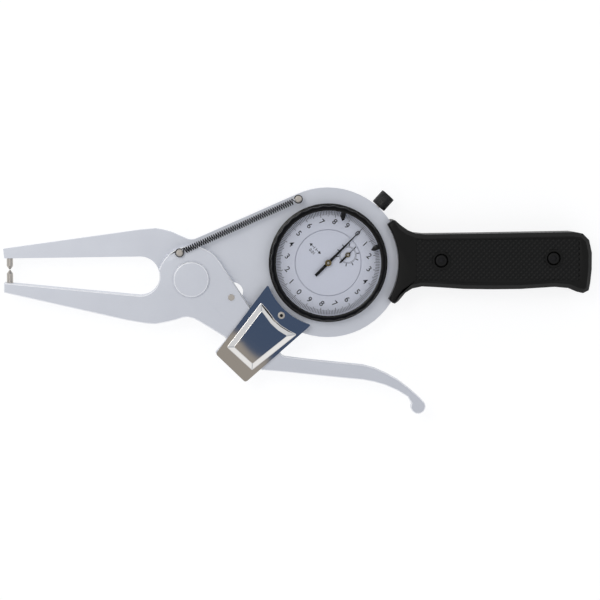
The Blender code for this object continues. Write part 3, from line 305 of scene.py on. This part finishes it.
# Return spring
# Wound from music wire with a black oxide finish, 51 curls, hooked round a post at each end.
# The spring's black oxide, also used as painted shade inside the screws' hexagon sockets.
black_oxide_and_socket_shade, tree, shader = start_material("black_oxide_wire_and_painted_socket_shade")
vary_colour(tree, shader, noise(tree, 1.5 * mm, 3.0), "#0c0c0d", "#1c1c1f")
shader.inputs["Roughness"].default_value = 0.4
shader.inputs["Specular IOR Level"].default_value = 0.25
spring_level = 20.2 * mm
jaw_post = Vector((-72.62 * mm, 5.24 * mm, spring_level))
body_post = Vector((-14.75 * mm, 31.26 * mm, spring_level))
wire_radius, curl_radius, hook_radius = 0.25 * mm, 1.4 * mm, 1.95 * mm
curls = 51
points_in_curl = 12
coil_lead = 2.9 * mm
along = (body_post - jaw_post).normalized()
sideways = Vector((-along.y, along.x, 0))
upwards = Vector((0, 0, 1))
hook_steps = 14
hook_arc = math.radians(300)


def hook(post, far_side):
    """The wire's places round a post, open towards the other one."""
    places = []
    for step in range(hook_steps + 1):
        turn = hook_arc * (step / hook_steps - 0.5) + far_side
        places.append(post + (along * math.cos(turn) + sideways * math.sin(turn)) * hook_radius)
    return places


coil_length = (body_post - jaw_post).length - 2 * coil_lead
coil_steps = curls * points_in_curl
coil = []
for step in range(coil_steps + 1):
    turn = 2 * math.pi * step / points_in_curl
    centre = jaw_post + along * (coil_lead + coil_length * step / coil_steps)
    coil.append(centre + (sideways * math.cos(turn) + upwards * math.sin(turn)) * curl_radius)
spring_path = hook(jaw_post, math.pi) + coil + hook(body_post, 0)
weld_wire = 0.001 * mm
wire = bpy.data.curves.new("return_spring_wire", "CURVE")
wire.dimensions = "3D"
wire.bevel_depth = wire_radius
wire.bevel_resolution = 1
wire.use_fill_caps = True
run = wire.splines.new("POLY")
run.points.add(len(spring_path) - 1)
for point, place in zip(run.points, spring_path):
    point.co = (*place, 1)
wound = bpy.data.objects.new("wound_wire", wire)
spring_mesh = bpy.data.meshes.new_from_object(wound)
bpy.data.objects.remove(wound)
spring_solid = bmesh.new()
spring_solid.from_mesh(spring_mesh)
bmesh.ops.remove_doubles(spring_solid, verts=spring_solid.verts[:], dist=weld_wire)
bmesh.ops.recalc_face_normals(spring_solid, faces=spring_solid.faces[:])
spring = make_piece("return_spring_wound", spring_solid, black_oxide_and_socket_shade, None)
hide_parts("return_spring")
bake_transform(spring)

# Mechanism cover
# Stamped from polished stainless sheet, with a raised pocket whose walls are drawn, lips folded down at its
# edges and one screw. The sheet isn't quite flat, so what it mirrors wavers.
mirror, tree, shader = start_material("polished_stainless_sheet")
vary_roughness(tree, shader, noise(tree, 0.5 * mm, 4.0), 0.02, 0.04)
vary_height(tree, shader, noise(tree, 30 * mm, 0.0), 1.0, 0.15 * mm)
shader.inputs["Base Color"].default_value = linear("#efedea")
shader.inputs["Metallic"].default_value = 1.0
sheet_top, pocket_rise, sheet_gauge = 19.8 * mm, 2.1 * mm, 0.8 * mm
wall_run = 2.4 * mm
fold_radius = 0.16 * mm
arc_radius = 31.3 * mm
arc_start, arc_end, arc_steps = 254.5, 199.3, 24
left_corner, low_corner = Vector((-55.23, -44.29, 0)) * mm, Vector((-40.63, -58.39, 0)) * mm
horn_rounding, corner_rounding, pocket_rounding = 1.4 * mm, 1.2 * mm, 0.9 * mm
cover_outline = []
for step in range(arc_steps + 1):
    angle = math.radians(arc_start + (arc_end - arc_start) * step / arc_steps)
    cover_outline.append(Vector((math.cos(angle), math.sin(angle), 0)) * arc_radius)
cover_outline += [left_corner, low_corner]
cover_roundings = (
    (arc_steps + 2, corner_rounding), (arc_steps + 1, corner_rounding), (arc_steps, horn_rounding),
    (0, horn_rounding),
)
pocket_foot = [
    Vector((x, y, 0)) * mm for x, y in (
        (-32.9, -19.4), (-29.6, -23.2), (-26.4, -27.6), (-23.1, -30.7), (-19.4, -33.0), (-15.7, -34.9),
        (-37.4, -52.2), (-49.5, -41.0),
    )
]


def round_off(solid, parts, reach, segments, affect="EDGES", clamp=False):
    """Rounds edges, or the corners of a flat face."""
    bmesh.ops.bevel(
        solid, geom=parts, offset=reach, segments=segments, profile=0.5, affect=affect, material=-1,
        offset_type="OFFSET", clamp_overlap=clamp,
    )


def rounded_face(solid, outline, roundings=()):
    """A flat face at the sheet's top, whose corners are rounded by number."""
    corners = [solid.verts.new(point + Vector((0, 0, sheet_top))) for point in outline]
    solid.faces.new(corners)
    for number, reach in roundings:
        round_off(solid, [corners[number]], reach, 5, affect="VERTICES")


def rise_of(edge):
    """How far one end of an edge stands over the other."""
    return abs(edge.verts[0].co.z - edge.verts[1].co.z)


def thicken(solid):
    """Doubles an open surface into a closed solid, and gives the points of its lower side."""
    raised = bmesh.ops.extrude_face_region(solid, geom=solid.faces[:])["geom"]
    raised_points = {item for item in raised if isinstance(item, bmesh.types.BMVert)}
    return [point for point in solid.verts if point not in raised_points]


def cut_off(solid, place, outwards, capped=False):
    """Takes away what lies beyond a plane, and closes the cut if it is capped."""
    everything = solid.verts[:] + solid.edges[:] + solid.faces[:]
    bmesh.ops.bisect_plane(solid, geom=everything, plane_co=place, plane_no=outwards, clear_outer=True)
    if capped:
        bmesh.ops.holes_fill(solid, edges=[edge for edge in solid.edges if edge.is_boundary])


def hold_normals(piece):
    """Keeps flat faces flat beside their rounded edges."""
    weighted = piece.modifiers.new("Flat faces", "WEIGHTED_NORMAL")
    weighted.keep_sharp = True


sheet = bmesh.new()
rounded_face(sheet, cover_outline, cover_roundings)
outer_edges = list(sheet.edges)
bmesh.ops.delete(sheet, geom=sheet.faces[:], context="FACES_ONLY")
rounded_face(sheet, pocket_foot)
pocket_face = sheet.faces[:][0]
sheet.normal_update()
bmesh.ops.inset_individual(sheet, faces=[pocket_face], thickness=wall_run, use_even_offset=True)
bmesh.ops.translate(sheet, verts=pocket_face.verts, vec=(0, 0, pocket_rise))
wall_corners = [
    edge for edge in sheet.edges
    if rise_of(edge) > pocket_rise / 2 and edge.calc_face_angle(0) > math.radians(30)
]
round_off(sheet, wall_corners, pocket_rounding, 4, clamp=True)
foot_edges = [edge for edge in sheet.edges if edge.is_boundary]
crown_level = sheet_top + pocket_rise * 0.9
crown_edges = [
    edge for edge in sheet.edges
    if min(point.co.z for point in edge.verts) > crown_level and not edge.is_boundary
    and edge.calc_face_angle(0) > math.radians(20)
]
bmesh.ops.triangle_fill(sheet, use_beauty=True, edges=outer_edges + foot_edges)
bmesh.ops.recalc_face_normals(sheet, faces=sheet.faces[:])
round_off(sheet, foot_edges + crown_edges, fold_radius, 3, clamp=True)
for point in thicken(sheet):
    point.co.z -= sheet_gauge
bmesh.ops.recalc_face_normals(sheet, faces=sheet.faces[:])
# The folded lips are the CAD node's own, taken from under the sheet's top
lips = bmesh.new()
lips.from_mesh(nodes["mechanism_cover"].data)
bmesh.ops.remove_doubles(lips, verts=lips.verts[:], dist=weld_reach)
cut_off(lips, (0, 0, sheet_top - sheet_gauge / 2), (0, 0, 1), capped=True)
lip_mesh = bpy.data.meshes.new("cover_lips")
lips.to_mesh(lip_mesh)
lips.free()
sheet.from_mesh(lip_mesh)
cover = make_piece("mechanism_cover_stamped", sheet, mirror, "frame")
hold_normals(cover)
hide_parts("mechanism_cover")

# Screws
# Turned steel with a bright finish, a domed head and a hexagon socket coloured black as painted shade, over the
# CAD's plain screws.
# Sizes of a head are shares of its radius or of its height.
head_sides, shank_sides = 24, 16
dome_share, land_share = 0.35, 0.16
socket_share, socket_depth_share = 0.46, 0.55
shank_share = 0.5


def highest_face(solid):
    """The face whose middle is highest, and the largest of those at one level."""
    return max(solid.faces, key=lambda face: (round(face.calc_center_median().z / mm, 3), face.calc_area()))


def socket_screw(node, head_radius, head_height, finish, facing_up=True):
    """A screw head with a domed top and a hexagon socket, and the shank under it."""
    low, high = (Vector(corner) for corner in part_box(node))
    middle = (low + high) / 2
    turned = bmesh.new()
    bmesh.ops.create_cone(
        turned, cap_ends=True, segments=head_sides, radius1=head_radius, radius2=head_radius,
        depth=head_height,
    )
    round_off(turned, list(highest_face(turned).edges), head_height * dome_share, 3)
    land_width = head_radius * land_share
    bmesh.ops.inset_region(turned, faces=[highest_face(turned)], thickness=land_width, use_even_offset=True)
    face = highest_face(turned)
    top = head_height / 2
    for point in face.verts:
        heading = math.atan2(point.co.y, point.co.x)
        reach = head_radius * socket_share / math.cos((heading % math.radians(60)) - math.radians(30))
        point.co = Vector((reach * math.cos(heading), reach * math.sin(heading), top))
    pushed = bmesh.ops.extrude_discrete_faces(turned, faces=[face])["faces"][0]
    bmesh.ops.translate(turned, verts=list(pushed.verts), vec=(0, 0, -head_height * socket_depth_share))
    # The socket's floor and walls are coloured black: painted shade in the recess.
    for face in [pushed, *(other for edge in pushed.edges for other in edge.link_faces)]:
        face.material_index = 1
    up = 1 if facing_up else -1
    head_place = high.z - top if facing_up else low.z + top
    turn = Matrix.Rotation(0 if facing_up else math.pi, 3, "X")
    bmesh.ops.rotate(turned, verts=turned.verts[:], matrix=turn)
    bmesh.ops.translate(turned, verts=turned.verts[:], vec=(middle.x, middle.y, head_place))
    shank_length = (high.z - low.z) - head_height
    if shank_length > 0:
        shank_middle = head_place - up * (top + shank_length / 2)
        shank_radius = head_radius * shank_share
        bmesh.ops.create_cone(
            turned, cap_ends=True, segments=shank_sides, radius1=shank_radius, radius2=shank_radius,
            depth=shank_length, matrix=Matrix.Translation((middle.x, middle.y, shank_middle)),
        )
    made = make_piece(node + "_turned", turned, finish, nodes[node]["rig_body"])
    made.data.materials.append(black_oxide_and_socket_shade)
    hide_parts(node)


small_head = (1.7 * mm, 0.8 * mm)
socket_screw("cover_screw", *small_head, ground)


# Dial
# Two sheets of brass under satin bluish-white enamel: the middle stays with the case, and the outer ring turns
# with the bezel. The enamel has a faint orange peel.
def dress(finish, *names):
    """Gives CAD nodes that keep their own shape a finish."""
    for name in names:
        slots = nodes[name].data.materials
        slots.clear()
        slots.append(finish)


enamel, tree, shader = start_material("satin_white_dial_enamel")
peel = noise(tree, 0.8 * mm, 2.0)
vary_colour(tree, shader, peel, "#e9edfb", "#f0f3ff")
vary_height(tree, shader, peel, 0.1, 0.02 * mm)
shader.inputs["Roughness"].default_value = 0.5
dress(enamel, "dial_middle", "dial_ring", "dial_base")

# Dial printing
# Pad-printed ink: 200 graduations with longer ones at fives and tens, and two runs of 0 to 9, all upright to
# the dial's own top, which is turned 45 degrees clockwise. On the middle are the counter's scale, a double
# arrow and the value of a graduation.
ink, tree, shader = start_material("pad_printed_black_ink")
vary_colour(tree, shader, noise(tree, 0.3 * mm, 2.0), "#111115", "#22222a")
shader.inputs["Roughness"].default_value = 0.55
# The same ink, greyer where the lines are fine
fine_ink, tree, shader = start_material("fine_lines_of_grey_ink")
vary_colour(tree, shader, noise(tree, 0.3 * mm, 2.0), "#23232c", "#393945")
shader.inputs["Roughness"].default_value = 0.55
dial_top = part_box("dial_ring")[1][2]
ink_height = 0.03 * mm
ink_spread = 0.013
dial_turn = math.radians(-45)
dial_zero = math.radians(45)


def print_stroke(print_solid, centre, angle, inner, outer, width):
    """One printed line that runs outwards from a centre at an angle."""
    middle = Vector(centre) + Vector((math.cos(angle), math.sin(angle))) * (inner + outer) / 2
    place = Matrix.Translation((middle.x, middle.y, dial_top + ink_height / 2))
    size = Matrix.Diagonal((outer - inner, width, ink_height, 1))
    bmesh.ops.create_cube(print_solid, size=1, matrix=place @ Matrix.Rotation(angle, 4, "Z") @ size)


def print_words(print_solid, words, size, centre, angle):
    """Printed figures, centred on a place and turned."""
    letters = bpy.data.curves.new("letters", "FONT")
    letters.body = words
    letters.size = size
    letters.extrude = ink_height / 2
    letters.offset = size * ink_spread
    letters.align_x, letters.align_y = "CENTER", "CENTER"
    letters.resolution_u = 4
    shown = bpy.data.objects.new("letters", letters)
    letter_mesh = bpy.data.meshes.new_from_object(shown)
    letter_mesh.transform(
        Matrix.Translation((*centre, dial_top + ink_height / 2)) @ Matrix.Rotation(angle, 4, "Z")
    )
    print_solid.from_mesh(letter_mesh)
    bpy.data.objects.remove(shown)
    bpy.data.meshes.remove(letter_mesh)


def clock_angle(number, count):
    """The angle of one of a count of marks, which run clockwise from the dial's zero."""
    return dial_zero - 2 * math.pi * number / count


graduation_count = 200
graduation_end = 25.4 * mm
tens_start, fives_start, ones_start = 22.4 * mm, 22.7 * mm, 23.3 * mm
tens_width, ones_width = 0.26 * mm, 0.22 * mm
graduations = bmesh.new()
for number in range(graduation_count):
    inner, width = (tens_start, tens_width) if number % 10 == 0 else (ones_start, ones_width)
    if number % 10 == 5:
        inner = fives_start
    angle = clock_angle(number, graduation_count)
    print_stroke(graduations, (0, 0), angle, inner, graduation_end, width)
make_piece("dial_graduations", graduations, fine_ink, "bezel")
figure_count, figure_radius, figure_size = 20, 20.3 * mm, 3.9 * mm
figures = bmesh.new()
for number in range(figure_count):
    angle = clock_angle(number, figure_count)
    centre = (figure_radius * math.cos(angle), figure_radius * math.sin(angle))
    print_words(figures, str(number % 10), figure_size, centre, dial_turn)
make_piece("dial_figures", figures, ink, "bezel")
counter_centre = (9.65 * mm, 3.87 * mm)
counter_marks = ((10, 4.3 * mm, 5.7 * mm, 0.45 * mm), (50, 3.5 * mm, 4.4 * mm, 0.16 * mm))
scale_print = bmesh.new()
for count, inner, outer, width in counter_marks:
    for number in range(count):
        print_stroke(scale_print, counter_centre, clock_angle(number, count), inner, outer, width)
mark_centre = Vector((-6.3 * mm, 7.0 * mm))
mark_along = Vector((math.cos(dial_turn), math.sin(dial_turn)))
mark_below = Vector((math.sin(dial_turn), -math.cos(dial_turn)))
mark_line, bar_place, bar_reach = 0.22 * mm, 0.55 * mm, 0.75 * mm
arrow_neck, arrow_place, arrow_radius = 2.4 * mm, 2.9 * mm, 0.95 * mm
value_drop, value_size = 2.2 * mm, 2.0 * mm
for side in (-1, 1):
    facing_angle = dial_turn + (math.pi if side < 0 else 0)
    print_stroke(scale_print, mark_centre, facing_angle, bar_place, arrow_neck, mark_line)
    bar = mark_centre + mark_along * side * bar_place
    print_stroke(scale_print, bar, dial_turn + math.pi / 2, -bar_reach, bar_reach, mark_line)
    tip = mark_centre + mark_along * side * arrow_place
    bmesh.ops.create_cone(
        scale_print, cap_ends=True, segments=3, radius1=arrow_radius, radius2=arrow_radius, depth=ink_height,
        matrix=Matrix.Translation((*tip, dial_top + ink_height / 2))
        @ Matrix.Rotation(facing_angle - math.pi / 2, 4, "Z"),
    )
print_words(scale_print, "0.01", value_size, mark_centre + mark_below * value_drop, dial_turn)
make_piece("counter_scale", scale_print, ink, "frame")

# Hands
# Pressed steel in satin black, each on a turned brass hub. They are narrower than the CAD's, and their tails
# less so than their pointers.
black, tree, shader = start_material("satin_black_enamel")
vary_roughness(tree, shader, noise(tree, 0.5 * mm, 2.0), 0.4, 0.55)
shader.inputs["Base Color"].default_value = linear("#080808")
shader.inputs["Specular IOR Level"].default_value = 0.25
# Brass, turned, with a fine lathe grain
brass, tree, shader = start_material("turned_brass")
vary_roughness(tree, shader, noise(tree, 0.4 * mm, 3.0), 0.2, 0.36)
shader.inputs["Base Color"].default_value = linear("#a08c5c")
shader.inputs["Metallic"].default_value = 1.0
hub_rim = 0.25 * mm
hub_clear = 1.08
hand_way = Vector((math.cos(dial_zero), math.sin(dial_zero)))
hand_neck, hand_edge = 3 * mm, 0.05 * mm
pointer_width, tail_width = 0.55, 0.95
for name, centre, hub in (("main_hand", (0, 0), 1.6 * mm), ("counter_hand", counter_centre, 1.2 * mm)):
    hand = finished_copy(name, black, hand_edge)
    hand.data.materials.append(brass)
    for point in hand.data.vertices:
        reach = point.co.xy - Vector(centre)
        forward = reach.dot(hand_way)
        aside = reach - hand_way * forward
        if reach.length > hub * hub_clear:
            width = pointer_width if forward > -hand_neck else tail_width
            point.co.xy = Vector(centre) + hand_way * forward + aside * width
    hub_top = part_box(name)[1][2] - hub_rim
    for face in hand.data.polygons:
        off_centre = (face.center.xy - Vector(centre)).length
        if off_centre < hub + hub_rim and face.center.z > hub_top:
            face.material_index = 1

# Bezel
# Turned aluminium, anodised black and left glossy. The flange is plain, and the ring over it has scallops for
# the fingers. Its lip holds the crystal.
anodised, tree, shader = start_material("glossy_black_anodised_bezel")
vary_roughness(tree, shader, noise(tree, 0.6 * mm, 2.0), 0.14, 0.24)
shader.inputs["Base Color"].default_value = linear("#060607")
shader.inputs["Specular IOR Level"].default_value = 0.25
bezel_profile = (
    (27.2, 12.3), (28.6, 12.3), (28.6, 13.9), (28.9, 13.9), (29.1, 14.1), (29.1, 17.0), (28.8, 17.35),
    (28.3, 17.5), (28.3, 21.9), (28.1, 22.25), (27.7, 22.5), (26.3, 22.5), (25.85, 22.35), (25.7, 22.0),
    (25.7, 20.6), (26.6, 20.6), (26.6, 17.0), (27.2, 17.0),
)
bezel_steps = 256
scallop_count = 32
scallop_depth = 0.38 * mm
scalloped_beyond, scalloped_above = 27.6 * mm, 17.45 * mm


def spin_ring(outline, centre, steps):
    """A closed ring that is turned round a centre from an outline of radii and heights."""
    ring = bmesh.new()
    rim = [ring.verts.new((centre[0] + radius, centre[1], level)) for radius, level in outline]
    rim_edges = [ring.edges.new((rim[i - 1], rim[i])) for i in range(len(rim))]
    bmesh.ops.spin(
        ring, geom=rim + rim_edges, cent=(*centre, 0), axis=(0, 0, 1), angle=2 * math.pi, steps=steps,
        use_merge=True,
    )
    bmesh.ops.recalc_face_normals(ring, faces=ring.faces[:])
    return ring


bezel_outline = [(radius * mm, level * mm) for radius, level in bezel_profile]
bezel_solid = spin_ring(bezel_outline, (0, 0), bezel_steps)
for point in bezel_solid.verts:
    radius = point.co.xy.length
    if radius > scalloped_beyond and point.co.z > scalloped_above:
        wave = abs(math.cos(scallop_count / 2 * math.atan2(point.co.y, point.co.x)))
        point.co.xy *= 1 - scallop_depth * wave ** 2 / radius
bezel = make_piece("bezel_turned", bezel_solid, anodised, "bezel")
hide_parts("bezel")

# Crystal
# A flat acrylic window pressed under the bezel's lip.
window, tree, shader = start_material("clear_acrylic_window")
vary_roughness(tree, shader, noise(tree, 9 * mm, 3.0), 0.02, 0.06)
shader.inputs["Base Color"].default_value = linear("#0c0d0e")
shader.inputs["IOR"].default_value = 1.49
shader.inputs["Alpha"].default_value = 0.05
dress(window, "crystal")

# Limit markers and bezel clamp
# Moulded black acetal: two tabs that slide under the bezel's lip and are cut to a point, and a ribbed knob on
# the clamp screw.
acetal, tree, shader = start_material("moulded_black_acetal")
vary_roughness(tree, shader, noise(tree, 0.7 * mm, 3.0), 0.2, 0.32)
shader.inputs["Base Color"].default_value = linear("#090909")
shader.inputs["Specular IOR Level"].default_value = 0.35
marker_edge = 0.1 * mm
point_radius, point_aside = 21.6 * mm, 0.35 * mm
steep_side, flat_side = 0.9, 0.75
for name, angle in (("limit_marker_1", math.radians(73.2)), ("limit_marker_2", math.radians(18.4))):
    marker = finished_copy(name, acetal, marker_edge)
    outwards = Vector((math.cos(angle), math.sin(angle), 0))
    beside = Vector((-outwards.y, outwards.x, 0))
    pointed = bmesh.new()
    pointed.from_mesh(marker.data)
    tip = outwards * point_radius - beside * point_aside
    for slant in (-beside - outwards * steep_side, beside - outwards * flat_side):
        cut_off(pointed, tip, slant.normalized(), capped=True)
    bmesh.ops.recalc_face_normals(pointed, faces=pointed.faces[:])
    pointed.to_mesh(marker.data)
    pointed.free()
clamp_angle = math.radians(48)
clamp_level = 12.0 * mm
knob_inner, knob_outer, knob_radius = 37.1 * mm, 44.5 * mm, 3.75 * mm
knob_ribs, rib_depth, knob_rounding = 40, 0.1 * mm, 0.45 * mm
knob_solid = bmesh.new()
bmesh.ops.create_cone(
    knob_solid, cap_ends=True, segments=knob_ribs * 2, radius1=knob_radius, radius2=knob_radius,
    depth=knob_outer - knob_inner,
)
for point in knob_solid.verts:
    heading = math.atan2(point.co.y, point.co.x)
    if round(heading / math.pi * knob_ribs) % 2:
        point.co.x -= math.cos(heading) * rib_depth
        point.co.y -= math.sin(heading) * rib_depth
knob_ends = [face for face in knob_solid.faces if abs(face.normal.z) > 0.9]
round_off(knob_solid, [edge for face in knob_ends for edge in face.edges], knob_rounding, 3)
knob_reach = (knob_inner + knob_outer) / 2
knob_centre = (knob_reach * math.cos(clamp_angle), knob_reach * math.sin(clamp_angle), clamp_level)
knob_turn = Matrix.Rotation(clamp_angle, 4, "Z") @ Matrix.Rotation(math.pi / 2, 4, "Y")
bmesh.ops.transform(knob_solid, verts=knob_solid.verts[:], matrix=Matrix.Translation(knob_centre) @ knob_turn)
knob = make_piece("clamp_knob_moulded", knob_solid, acetal, "clamp")
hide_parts("clamp_knob")

# Grip
# Two mouldings of glass-filled nylon clamp the tang, with broad rounded shoulders. Each has a sunk panel of
# diamond checkering, cut like a gunstock's, and smooth collars round the screws.
nylon, tree, shader = start_material("moulded_glass_filled_nylon")
sparkle = noise(tree, 0.45 * mm, 3.0)
vary_colour(tree, shader, sparkle, "#090908", "#11110f")
vary_height(tree, shader, sparkle, 0.25, 0.03 * mm)
shader.inputs["Roughness"].default_value = 0.42
shader.inputs["Specular IOR Level"].default_value = 0.2
shoulder_width, shoulder_rounding = 1.3 * mm, 0.9 * mm
shoulder_depth = 0.8 * mm
slope_least, slope_most = 0.3, 0.95
arc_clear, arc_margin = 37.5 * mm, 1.5 * mm
level_within = 0.05 * mm
panel_left, panel_right, panel_low, panel_high = 42.9 * mm, 123.4 * mm, -8.5 * mm, 11.6 * mm
panel_depth = 0.5 * mm
checker_cell, checker_height = 1.85 * mm, 0.4 * mm
grip_screws = ((55.3 * mm, 1.08 * mm), (110.6 * mm, 2.1 * mm))
collar_inner, collar_outer, collar_steps = 3.45 * mm, 4.5 * mm, 40
collar_clear = collar_inner * 1.12
collar_chamfer, collar_proud, collar_shoulder = 0.15 * mm, 0.05 * mm, 0.1 * mm
collar_profile = (
    (collar_inner, -panel_depth * 1.4), (collar_outer, -panel_depth * 1.4), (collar_outer, -collar_shoulder),
    (collar_outer - collar_chamfer, collar_proud), (collar_inner + collar_chamfer, collar_proud),
    (collar_inner, -collar_shoulder),
)


def widen_shoulders(half, face_level, inwards):
    """Moves the corners of a half's slanting faces out, and rounds the edges along them."""
    slanted = [
        face for face in half.faces
        if slope_least < abs(face.normal.z) < slope_most
        and abs(face.calc_center_median().z - face_level) < shoulder_depth
        and min(point.co.xy.length for point in face.verts) > arc_clear
    ]
    shifts = {}
    for face in slanted:
        out = Vector((face.normal.x, face.normal.y, 0)).normalized()
        for point in face.verts:
            if point.co.xy.length < arc_clear + arc_margin:
                continue
            if abs(point.co.z - face_level) < level_within:
                shifts.setdefault(point, Vector()).xyz -= out
            else:
                shifts.setdefault(point, Vector()).z = inwards
    for point, shift in shifts.items():
        point.co += shift.normalized() * shoulder_width
    shoulders = {
        edge for face in slanted for edge in face.edges
        if rise_of(edge) < level_within and all(
            other in slanted or abs(other.normal.z) > slope_most or abs(other.normal.z) < slope_least
            for other in edge.link_faces
        )
    }
    round_off(half, list(shoulders), shoulder_rounding, 4, clamp=True)


def cut_checkers(face_level, inwards):
    """A panel of small pyramids in a half's sunk panel, with room round each screw."""
    checkers = bmesh.new()
    middle = Vector(((panel_left + panel_right) / 2, (panel_low + panel_high) / 2, 0))
    cells = math.ceil((panel_right - panel_left + panel_high - panel_low) / math.sqrt(2) / checker_cell)
    bmesh.ops.create_grid(
        checkers, x_segments=cells, y_segments=cells, size=cells * checker_cell / 2,
        matrix=Matrix.Translation(middle) @ Matrix.Rotation(math.radians(45), 4, "Z"),
    )
    bmesh.ops.poke(checkers, faces=checkers.faces[:], offset=checker_height)
    cut_off(checkers, (panel_left, 0, 0), (-1, 0, 0))
    cut_off(checkers, (panel_right, 0, 0), (1, 0, 0))
    cut_off(checkers, (0, panel_low, 0), (0, -1, 0))
    cut_off(checkers, (0, panel_high, 0), (0, 1, 0))
    near_screw = [
        face for face in checkers.faces
        if min((face.calc_center_median().xy - Vector(place)).length for place in grip_screws) < collar_clear
    ]
    bmesh.ops.delete(checkers, geom=near_screw, context="FACES")
    for point in thicken(checkers):
        point.co.z = -panel_depth / 2
    for point in checkers.verts:
        point.co.z = face_level + inwards * (panel_depth - point.co.z)
    bmesh.ops.recalc_face_normals(checkers, faces=checkers.faces[:])
    return checkers


for name, inwards in (("grip_front", -1), ("grip_back", 1)):
    face_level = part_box(name)[1 if inwards < 0 else 0][2]
    half = bmesh.new()
    half.from_mesh(nodes[name].data)
    bmesh.ops.remove_doubles(half, verts=half.verts[:], dist=weld_reach)
    widen_shoulders(half, face_level, inwards)
    moulded = make_piece(name + "_moulded", half, nylon, "frame")
    hold_normals(moulded)
    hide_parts(name)
    checkers = cut_checkers(face_level, inwards)
    make_piece(name + "_checkering", checkers, nylon, "frame")
    collar_outline = [(radius, face_level - inwards * level) for radius, level in collar_profile]
    for number, place in enumerate(grip_screws, 1):
        collar = spin_ring(collar_outline, place, collar_steps)
        make_piece(f"{name}_collar_{number}", collar, nylon, "frame")
grip_head = (3.0 * mm, 1.6 * mm)
for number in (1, 2):
    socket_screw(f"grip_screw_{number}", *grip_head, black)

# Rear case
# A turned and blasted aluminium case closes the back, on four socket screws.
case_edge = 0.2 * mm
finished_copy("rear_case", blasted, case_edge)
for number in (1, 2, 3, 4):
    socket_screw(f"rear_case_screw_{number}", *small_head, ground, facing_up=False)

# Movement
# The gear train, the bridge and their screws are behind the dial: cut brass wheels on ground steel arbors, with
# the plastic and painted pieces among them in the finishes used above.
already_dressed = ("dial_middle", "dial_ring", "dial_base", "crystal")
finish_of = {"brass": brass, "black_plastic": acetal, "black_paint": black}
for name, slot in slot_of.items():
    if not nodes[name].hide_render and name not in already_dressed:
        dress(finish_of.get(slot, ground), name)
